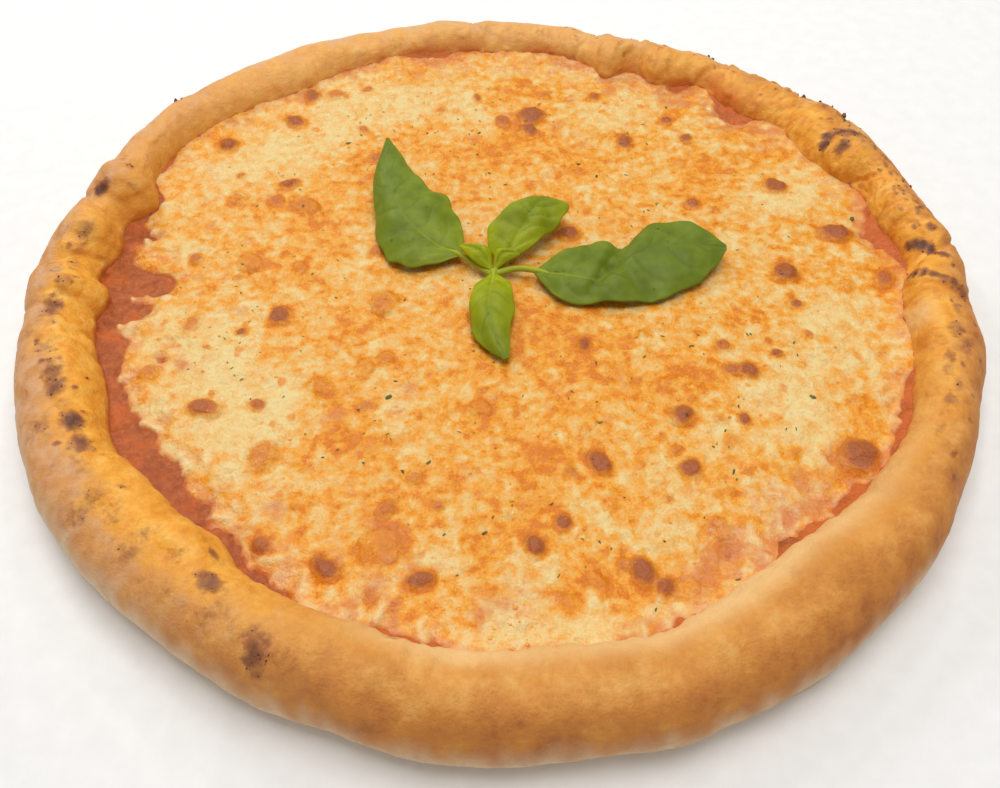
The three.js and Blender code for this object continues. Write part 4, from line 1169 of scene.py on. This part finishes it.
# %% Guide lines of the leaves
big_left = {
    "rib": [(-13, 11, 13), (-25, 17, 16), (-33, 26, 18), (-38, 39, 18), (-42, 53, 17), (-41.5, 71, 15)],
    "left": [(-14, 10, 13), (-28, 6, 12.5), (-39, 13, 12), (-43, 30, 12.5), (-45, 48, 13.5), (-42, 71, 15)],
    "right": [(-12.5, 12, 13), (-13, 25, 14), (-18, 36, 15), (-26, 44, 15.5), (-34, 57, 15.5),
              (-41, 71, 15)],
    "folds": [(-22, 44, -32, 34, 2.5, 0.9), (-40, 60, -40, 30, 3, 0.6), (-20, 14, -36, 12, 2.5, 0.6)],
}
big_right = {
    "rib": [(11, 3.5, 13), (22, 0, 15), (31, -2, 15.5), (40, 4, 17), (51, 10, 18), (63, 12, 17),
            (75, 13, 14.5)],
    "left": [(11.5, 4.2, 13), (22, 12, 14.5), (34, 15, 15.5), (42, 15, 15), (51, 23, 16), (65, 23, 16),
             (75, 14, 14.5)],
    "right": [(11, 2.8, 13), (19, -8, 12.5), (31, -10, 12), (41, -10, 12), (53, -8, 12), (66, 0, 12.5),
              (75, 12, 14.5)],
    "folds": [(41, 16, 36, 4, 2.6, 2.4), (36, 4, 29, -7, 2.0, 1.5), (48, -8, 39, 3, 2.2, 1.3),
              (30, 14, 26, 2, 1.8, 0.7), (60, 20, 52, 12, 3, 0.6)],
}
middle_leaf = {
    "rib": [(1, 7, 13), (4, 13, 16), (8, 20, 19), (11, 25, 21), (14, 31, 20.5), (16, 37, 16)],
    "left": [(0.4, 7, 13), (-4, 13, 15), (-4, 19, 17), (2, 26, 20), (7, 32, 19.5), (15.5, 37.5, 15.6)],
    "right": [(1.6, 7, 13), (9, 12, 14.5), (16, 18, 16.5), (21, 25, 17.5), (23, 32, 16.5),
              (16, 36.6, 15.6)],
    "folds": [(14, 32, 18, 20, 2, 0.8), (3, 26, 8, 20, 2, 0.7)],
}
lower_leaf = {
    "rib": [(-2, 2.2, 13.2), (-3, -6, 15.5), (-3.7, -14, 16.5), (-2.4, -24, 15), (2, -33.4, 12.4)],
    "left": [(-2.8, 2.2, 13.2), (-8, -4, 14), (-9.5, -13, 13.5), (-7.4, -25, 12.4), (1.3, -33.6, 12.3)],
    "right": [(-1.2, 2.2, 13.2), (3.5, -4, 14), (4.5, -12, 14), (3.2, -21, 13.2), (2.8, -33, 12.3)],
    "folds": [(-8, -20, -3, -30, 2, 0.6)],
}
left_bud = {
    "rib": [(-3, 4, 13.5), (-7, 9, 17), (-13, 12, 16.5)],
    "left": [(-3.6, 3.6, 13.5), (-9, 6, 15.5), (-13.4, 11.6, 16.3)],
    "right": [(-2.4, 4.6, 13.5), (-4, 11.5, 16.5), (-12.7, 12.6, 16.3)],
    "folds": [],
}
right_bud = {
    "rib": [(-1.8, 4, 13.5), (1, 8, 16.5), (6.5, 8.5, 16)],
    "left": [(-2.2, 4.4, 13.5), (-1, 10, 16.5), (6.2, 9.3, 15.8)],
    "right": [(-1.2, 3.6, 13.5), (3, 5.8, 15.5), (6.5, 8, 15.8)],
    "folds": [],
}
sprig_leaves = [big_left, big_right, middle_leaf, lower_leaf, left_bud, right_bud]
# For each leaf: its side veins, ripple, how young (yellow green) it is, how deep its green is all over
# and towards the tip, how light its base is, and the rows and columns of its skin.
traits = ("veins", "ripple", "young", "deep", "deep_tip", "light_base", "rows", "columns")
trait_values = [
    (6, 0.9, 0.0, 0.1, 0.1, 0.5, 90, 48),
    (6, 1.1, 0.0, 0.35, 0.0, 0.35, 90, 48),
    (5, 0.8, 0.62, 0.0, 0.5, 0.5, 60, 36),
    (4, 0.5, 0.85, 0.0, 0.6, 0.4, 54, 30),
    (3, 0, 0.95, 0.0, 0.0, 0, 30, 20),
    (3, 0, 1.0, 0.0, 0.0, 0, 30, 20),
]
for leaf, values in zip(sprig_leaves, trait_values):
    leaf.update(zip(traits, values))
print("the sprig has", len(sprig_leaves), "leaves")

# %% [markdown]
# The skin is stretched between the guide lines, arched and rippled, and the folds, the rib and the
# veins are pressed in. Where a leaf would cut through the cheese, it is lifted onto it.

# %% Skin of a leaf
LEAF_THICKNESS = 0.5


def near_line(points, x0, y0, x1, y1):
    """Distance on the plan from points to a straight line between two places."""
    along = np.array([x1 - x0, y1 - y0], float)
    share = ((points[..., :2] - (x0, y0)) @ along / (along @ along)).clip(0, 1)
    return np.linalg.norm(points[..., :2] - (x0, y0) - share[..., None] * along, axis=-1)


def shape_skin(guides):
    """The skin of a leaf as a grid of points, and its masks."""
    rows, columns = guides["rows"], guides["columns"]
    lines = [smooth_through(np.array(guides[name], float), 40, False) for name in ("left", "rib", "right")]
    share = np.linspace(0, 1, rows + 1)
    side = np.linspace(-1, 1, columns + 1)
    left, rib, right = [np.stack([np.interp(share, np.linspace(0, 1, len(line)), line[:, axis])
                                  for axis in range(3)], 1)[:, None] for line in lines]
    across = np.abs(side)[None, :, None]
    edge_line = np.where(side[None, :, None] < 0, left, right)
    size = edge_line.shape[:2]
    wavy = 1 + 0.09 * lumps(edge_line.reshape(-1, 3), 7, 73).reshape(size)[..., None] * across ** 2
    skin = rib + (edge_line - rib) * across * wavy
    s, v = share[:, None], side[None, :]
    width = np.linalg.norm(left - right, axis=2)
    arch = np.sin(pi * np.abs(v)) * np.sin(pi * s)
    skin[..., 2] += arch * (0.8 + 0.5 * guides["ripple"] * np.sin(5 * pi * s + 1.2 * np.sign(v)))
    curl = lumps(skin.reshape(-1, 3) * (1, 1, 0), 9, 74).reshape(skin.shape[:2])
    skin[..., 2] += 1.3 * curl * np.abs(v) ** 1.5 * np.minimum(width / 20, 1)
    for x0, y0, x1, y1, half_width, depth in guides["folds"]:
        skin[..., 2] -= depth * np.exp(-(near_line(skin, x0, y0, x1, y1) / half_width) ** 2)
    # Painted shade: the fold creases are darkened through the vein mask, as if shade lay in them.
    painted_crease_shade = sum(0.25 * depth * np.exp(-(near_line(skin, x0, y0, x1, y1) / 0.55) ** 2)
                 for x0, y0, x1, y1, half_width, depth in guides["folds"]) + 0 * skin[..., 0]
    bend = 0.05 * lumps(skin.reshape(-1, 3), 12, 75).reshape(skin.shape[:2])
    phase = (s - 0.18 * np.abs(v) ** 1.3 - 0.03 + bend) * (guides["veins"] + 1) + 0.3 * (v > 0)
    off_vein = np.abs(phase - np.round(phase))
    fade = np.sin(pi * np.clip(s, 0, 1)) ** 0.4 * (1 - np.abs(v) ** 3)
    vein = np.exp(-(off_vein / 0.045) ** 2) * fade * (1 - 0.5 * np.abs(v))
    midrib = np.exp(-(v * width / 1.0) ** 2)
    bulge = np.sin(pi * np.clip(off_vein * 2, 0, 1) / 2) * fade * (1 - np.exp(-(np.abs(v) / 0.2) ** 2))
    skin[..., 2] += 0.032 * np.minimum(width, 16) * bulge - 0.4 * midrib * (1 - 0.6 * s) - 0.16 * vein
    # Painted light: the edges of a leaf are made more yellow green, as if light shone through the thin
    # edge.
    young = guides["young"] + guides["light_base"] * np.exp(-s / 0.22) + 0.25 * np.abs(v) ** 6
    deep = guides["deep"] + guides["deep_tip"] * s ** 2 + 0 * v
    # The vein mask darkens the sunk veins and the fold creases as painted shade, and the rib towards the
    # tip.
    return skin, {"vein": 0.6 * np.clip(vein + 0.5 * midrib * s + painted_crease_shade, 0, 1.4),
                  "rib": 0.6 * midrib * np.exp(-s / 0.3), "young": young, "deep": deep,
                  "stalk": np.zeros(skin.shape[:2])}


print("the left leaf is a grid of", shape_skin(big_left)[0].shape[:2], "points")

# %% Leaves and stalks as closed solids


def make_leaf(guides):
    """Points, faces and masks of one leaf with two faces and a closed edge."""
    skin, masks = shape_skin(guides)
    flat = skin.reshape(-1, 3)
    flat[:, 2] += 0.15 * lumps(flat, 3, 71)
    flat[:, 2] = np.maximum(flat[:, 2], cheese_height(flat) + 0.4 + LEAF_THICKNESS / 2)
    count = len(flat)
    both = np.concatenate([flat + (0, 0, LEAF_THICKNESS / 2), flat - (0, 0, LEAF_THICKNESS / 2)])
    number = np.arange(count).reshape(skin.shape[:2])
    a, b, c, d = number[:-1, :-1], number[:-1, 1:], number[1:, 1:], number[1:, :-1]
    upper = np.stack([a, b, c, d], -1).reshape(-1, 4)
    faces = upper.tolist() + (upper[:, ::-1] + count).tolist()
    border = np.concatenate([number[0, :-1], number[:-1, -1], number[-1, :0:-1], number[:0:-1, 0]])
    following = np.roll(border, -1)
    faces += np.stack([border, border + count, following + count, following], 1).tolist()
    normal = np.cross(both[c[0, 0]] - both[a[0, 0]], both[b[0, 0]] - both[a[0, 0]])
    if normal[2] > 0:
        faces = [face[::-1] for face in faces]
    return both, faces, {name: np.tile(np.clip(values, 0, 1).ravel(), 2) for name, values in masks.items()}


def make_stalk(line, radii, sides=14, cap=0.4):
    """Points, faces and masks of a round stalk along a smooth line."""
    path = smooth_through(np.array(line, float), 8, False)
    thickness = np.interp(np.linspace(0, 1, len(path)), np.linspace(0, 1, len(radii)), radii)
    ahead = np.gradient(path, axis=0)
    ahead /= np.linalg.norm(ahead, axis=1, keepdims=True)
    aside = np.cross(ahead, (0, 0, 1))
    aside /= np.linalg.norm(aside, axis=1, keepdims=True)
    upward = np.cross(aside, ahead)
    turn = np.arange(sides) * 2 * pi / sides
    ring = aside[:, None] * np.cos(turn)[None, :, None] + upward[:, None] * np.sin(turn)[None, :, None]
    tube = path[:, None] + ring * thickness[:, None, None]
    points = np.concatenate([path[:1] - ahead[:1] * cap, tube.reshape(-1, 3), path[-1:] + ahead[-1:] * cap])
    faces = join_rings([1, *[sides] * len(path), 1])
    masks = {name: np.zeros(len(points)) for name in ("vein", "rib", "deep")}
    masks.update(young=np.ones(len(points)), stalk=np.ones(len(points)))
    return points, faces, masks


# The line of each stalk from the heart of the sprig, and its radii along it.
stalk_lines = [
    ([(-2.4, 2.6, 12.2), (-8, 7, 12.7), (-13, 10.8, 13.2), (-17, 13, 13.4)], [1.3, 1.1, 1.0, 0.5]),
    ([(-2.4, 2.6, 12.2), (5, 4.8, 12.9), (12, 3.4, 13.3), (17, 1.8, 13.2)], [1.3, 1.05, 0.95, 0.5]),
    ([(-2.4, 2.6, 12.8), (-0.6, 5.2, 13.1), (2, 9, 14.2), (4.6, 14, 15.2)], [1.3, 0.9, 0.7, 0.35]),
    ([(-2.2, 3.6, 13), (-2.1, 1, 13.4), (-2.4, -3, 14.1), (-2.8, -7, 14.4)], [1.2, 0.9, 0.7, 0.35]),
]
sprig_parts = [make_leaf(guides) for guides in sprig_leaves]
sprig_parts += [make_stalk(line, radii) for line, radii in stalk_lines]
sprig_points, sprig_faces, first = [], [], 0
for part_points, part_faces, _ in sprig_parts:
    sprig_points.append(part_points)
    sprig_faces += [tuple(first + corner for corner in face) for face in part_faces]
    first += len(part_points)
mask_names = ("vein", "rib", "young", "deep", "stalk")
sprig_masks = {name: np.concatenate([part[2][name] for part in sprig_parts]) for name in mask_names}
print("the sprig has", len(sprig_parts), "leaves and stalks")

# %% [markdown]
# ## Leaf green
# Old basil leaves are a waxy dark green; the youngest are yellow green, and painted light makes the
# thin edges of every leaf more yellow green, as if light shone through them. The side veins are sunk,
# and painted shade darkens them and the creases of the folds; the rib is darker towards the tip and
# paler near the stalk. The waxy skin gives a broad soft gloss, and some light comes through the thin leaf.

# %% Basil material
basil, shader = new_material("fresh basil leaf")
where = add_node(basil, "TexCoord").outputs["Object"]
mask = {name: add_node(basil, "Attribute", attribute_name=name).outputs["Fac"] for name in sprig_masks}
cells = add_node(basil, "TexNoise", {"Vector": where, "Scale": 1000 / 1.2, "Detail": 3.0})
blotch = add_node(basil, "TexNoise", {"Vector": where, "Scale": 1000 / 6.0, "Detail": 4.0})
dark = add_node(basil, "ValToRGB", {"Fac": blotch})
set_stops(dark, [(0.3, "#5f7212"), (0.7, "#7b8d28")])
bright = add_node(basil, "ValToRGB", {"Fac": blotch})
set_stops(bright, [(0.3, "#8b9400"), (0.7, "#a9b004")])
basil_layers = [
    # The vein colour is painted shade in the sunk veins and the fold creases.
    (mask["young"], bright), (mask["deep"], linear("#586b12")), (mask["vein"], linear("#4e5f16")),
    (mask["rib"], linear("#a7b038")), (mask["stalk"], linear("#a2aa28")),
]
colour = dark
for amount, paint in basil_layers:
    colour = add_node(basil, "Mix", {"Factor": amount, "A": colour, "B": paint}, data_type="RGBA")
leaf_skin = add_node(basil, "Bump", {"Height": cells, "Distance": 0.0002, "Strength": 0.4})
connect(shader, {"Base Color": colour, "Roughness": 0.48, "Normal": leaf_skin, "IOR": 1.42,
                 "Specular IOR Level": 0.28, "Subsurface Weight": 0.15,
                 "Subsurface Radius": (0.6, 1.0, 0.2), "Subsurface Scale": 0.0008})
all_sprig_points = np.concatenate(sprig_points)
sprig = add_piece("basil_leaves", all_sprig_points, sprig_faces, basil, sprig_masks)
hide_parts("basil_sprig")

# %% [markdown]
# ## Small things
# Herb flecks, beads of oil, crumbs and drops of water are too small for the solid model. Each kind is
# one mesh of many tiny solids. Every one is a ball with few sides that is stretched, turned and made
# uneven by rule, so a fleck is a long flat chip and a bead is a low round dome.

# %% Many small solids in one mesh


def scatter(places, sizes, turns, unevenness, rings=4, sides=6, seed=0):
    """Points and faces of a stretched uneven ball at each place; sizes are half lengths in mm."""
    heights = np.cos(np.linspace(0, pi, rings + 1))[1:-1]
    turn = np.arange(sides) * 2 * pi / sides
    middle = [(np.sqrt(1 - h * h) * cos(t), np.sqrt(1 - h * h) * sin(t), h) for h in heights for t in turn]
    ball = np.array([(0, 0, 1), *middle, (0, 0, -1)])
    ball_faces = join_rings([1, *[sides] * (rings - 1), 1])
    draw = np.random.default_rng(seed)
    bumpy = 1 + unevenness * draw.uniform(-1, 1, (len(places), len(ball), 1))
    solids = ball[None] * bumpy * np.asarray(sizes)[:, None]
    c, s = np.cos(turns)[:, None], np.sin(turns)[:, None]
    tilt = unevenness * draw.uniform(-1, 1, (len(places), 1))
    x, y, z = solids[..., 0], solids[..., 1], solids[..., 2] + tilt * solids[..., 0]
    points = np.stack([c * x - s * y, s * x + c * y, z], -1) + np.asarray(places)[:, None]
    faces = [tuple(number * len(ball) + corner for corner in face[::-1])
             for number in range(len(places)) for face in ball_faces]
    return points.reshape(-1, 3), faces


print("one small solid has", len(scatter(np.zeros((1, 3)), np.ones((1, 3)), np.zeros(1), 0)[1]), "faces")

# %% [markdown]
# Dried herbs crumble into chips one to three millimetres long, grey green to brown. They lie on the
# cheese, more of them in the middle, and one larger bit lies by the right rim.

# %% Herb flecks
# Listed one by one: x, y, half length, half width, turn in degrees.
placed_flecks = [
    (-33, -46, 1.6, 0.9, 20), (-20, -69, 1.0, 0.5, 60), (-27, -72, 0.9, 0.4, 110), (-4, -91, 1.0, 0.4, 30),
    (92, -46, 1.3, 0.9, 150), (65, -72, 1.0, 0.4, 70), (29, -55, 1.0, 0.5, 20), (65, 98, 1.0, 0.4, 100),
    (29, 62, 1.1, 0.5, 10), (35, 55, 0.8, 0.4, 80), (-8, 81, 1.0, 0.4, 50), (-4, 57, 0.9, 0.4, 140),
    (-57, 75, 1.2, 0.6, 30), (61, -105, 0.9, 0.3, 10), (39, -113, 0.9, 0.3, 60), (123, 34, 2.6, 0.9, 75),
]
chance = np.random.default_rng(21)
fleck_count = 210
chance_flecks = np.stack([*strewn(chance, fleck_count, 105), chance.uniform(0.3, 0.85, fleck_count),
                          chance.uniform(0.12, 0.3, fleck_count), chance.uniform(0, 360, fleck_count)], 1)
flecks = np.concatenate([np.array(placed_flecks, float), chance_flecks])
fleck_places = np.stack([flecks[:, 0], flecks[:, 1], cheese_height(flecks[:, [0, 1, 1]]) + 0.06], 1)
fleck_sizes = np.stack([flecks[:, 2], flecks[:, 3], 0.12 + 0.1 * flecks[:, 3]], 1)
dried_herb, shader = new_material("dried oregano")
where = add_node(dried_herb, "TexCoord").outputs["Object"]
leafy = add_node(dried_herb, "TexNoise", {"Vector": where, "Scale": 1000 / 3.0, "Detail": 3.0})
herb_green = add_node(dried_herb, "ValToRGB", {"Fac": leafy})
set_stops(herb_green, [(0.3, "#3f4218"), (0.5, "#5c6026"), (0.7, "#7f7a3c")])
connect(shader, {"Base Color": herb_green, "Roughness": 0.7, "IOR": 1.4})
fleck_points, fleck_faces = scatter(fleck_places, fleck_sizes, np.radians(flecks[:, 4]), 0.3, seed=3)
add_piece("herb_flecks", fleck_points, fleck_faces, dried_herb)

# %% [markdown]
# Oil that ran out of the cheese stands on it in low beads, up to two millimetres wide, and it is
# what gives the surface its pinpoint glints. The beads keep clear of the large left leaf.

# %% Beads of oil
chance = np.random.default_rng(33)
bead_count, cluster_count = 420, 26
bead_xy = np.stack(strewn(chance, bead_count, 118), 1)
near_rim_cluster = (3, -116) + chance.normal(0, 3, (cluster_count, 2))
bead_xy = np.concatenate([bead_xy, near_rim_cluster])
bead_half = 0.2 + 0.55 * chance.random(len(bead_xy)) ** 3
leaf_xy = sprig_points[0][::40, :2]
clear = np.array([np.hypot(*(place - leaf_xy).T).min() >= 3 for place in bead_xy])
bead_places = np.column_stack([bead_xy, cheese_height(bead_xy[:, [0, 1, 1]])])[clear]
bead_sizes = np.outer(bead_half, (1, 0.85, 0.5))[clear]
oil_film, shader = new_material("tomato-tinted olive oil")
where = add_node(oil_film, "TexCoord").outputs["Object"]
tinge = add_node(oil_film, "TexNoise", {"Vector": where, "Scale": 1000 / 12.0, "Detail": 2.0})
oil_colour = add_node(oil_film, "ValToRGB", {"Fac": tinge})
set_stops(oil_colour, [(0.35, "#f2b04a"), (0.65, "#e88f2c")])
connect(shader, {"Base Color": oil_colour, "Roughness": 0.06, "IOR": 1.47})
bead_points, bead_faces = scatter(bead_places, bead_sizes, np.zeros(len(bead_places)), 0.05, 5, 8, seed=4)
add_piece("oil_beads", bead_points, bead_faces, oil_film)

# %% [markdown]
# Where dough scorched, crumbs of char stick to it, and some dark knobs stand on the outline of the
# rim at the far right. They sit on the finished surface of the crust.

# %% Crumbs of char
chance = np.random.default_rng(55)
burnt = np.flatnonzero((rim_masks["scorch"] > 0.45) & (rim_across < 9))
crumb_count = 150
MM_PER_DEGREE = 2.4
picked = chance.choice(burnt, crumb_count, replace=False)
crumb_half = chance.uniform(0.12, 0.4, crumb_count)
# Dark knobs on the outline: angle, place across the rim, half length in mm.
knobs = [
    (40.6, 8.6, 1.0), (39.6, 8.8, 1.3), (37, 8.4, 0.9), (34.6, 8.2, 0.7), (31.6, 7.6, 1.1),
    (31, 7.4, 0.8), (55.6, 8.5, 0.9), (54.9, 8.6, 0.8), (143.5, 8.2, 1.3), (142.8, 8.4, 0.8),
    (16.5, 8.6, 0.7),
]
for knob_angle, knob_across, knob_half in knobs:
    away = np.hypot((rim_angle - knob_angle) * MM_PER_DEGREE, (rim_across - knob_across) * STEP_ACROSS)
    picked = np.append(picked, away.argmin())
    crumb_half = np.append(crumb_half, knob_half)
crumb_sizes = crumb_half[:, None] * chance.uniform(0.6, 1.1, (len(picked), 3))
char, shader = new_material("charred flour crumb")
where = add_node(char, "TexCoord").outputs["Object"]
burn = add_node(char, "TexNoise", {"Vector": where, "Scale": 1000 / 2.0, "Detail": 3.0})
char_colour = add_node(char, "ValToRGB", {"Fac": burn})
set_stops(char_colour, [(0.3, "#3a2621"), (0.5, "#6b4130"), (0.7, "#8f5c37")])
connect(shader, {"Base Color": char_colour, "Roughness": 0.8, "IOR": 1.45})
crumb_turns = chance.random(len(picked)) * pi
crumb_points, crumb_faces = scatter(rim_points[picked], crumb_sizes, crumb_turns, 0.3, seed=5)
add_piece("char_crumbs", crumb_points, crumb_faces, char)

# %% [markdown]
# The basil was rinsed, so a few clear drops hang on the two large leaves.

# %% Drops of water
chance = np.random.default_rng(77)
drop_places = []
drops_on_a_leaf = 16
for leaf, leaf_points in zip(sprig_leaves[:2], sprig_points[:2]):
    for _ in range(drops_on_a_leaf):
        row = int(chance.uniform(0.06, 0.9) * leaf["rows"])
        column = int(chance.uniform(0.08, 0.92) * leaf["columns"])
        drop_places.append(leaf_points[row * (leaf["columns"] + 1) + column])
drop_half = chance.uniform(0.2, 0.5, len(drop_places))
drop_sizes = np.outer(drop_half, (1, 0.85, 0.55))
water, shader = new_material("clear water")
where = add_node(water, "TexCoord").outputs["Object"]
ripple = add_node(water, "TexNoise", {"Vector": where, "Scale": 1000 / 1.0})
smoothness = add_node(water, "MapRange", {"Value": ripple, "To Min": 0.01, "To Max": 0.06})
connect(shader, {"Base Color": linear("#ffffff"), "Roughness": smoothness, "IOR": 1.33,
                 "Transmission Weight": 1.0})
drop_turns = chance.random(len(drop_places)) * pi
drop_points, drop_faces = scatter(np.array(drop_places), drop_sizes, drop_turns, 0.04, 5, 8, seed=6)
add_piece("water_drops", drop_points, drop_faces, water)

# %% [markdown]
# ## Sizes
# The boxes of the solid pizza and of the dressed one are both printed.

# %% Sizes
dressed_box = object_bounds()
for title, (low, high) in (("solid", solid_box), ("dressed", dressed_box)):
    print(title, "size in mm:", [round((b - a) / MM, 1) for a, b in zip(low, high)])
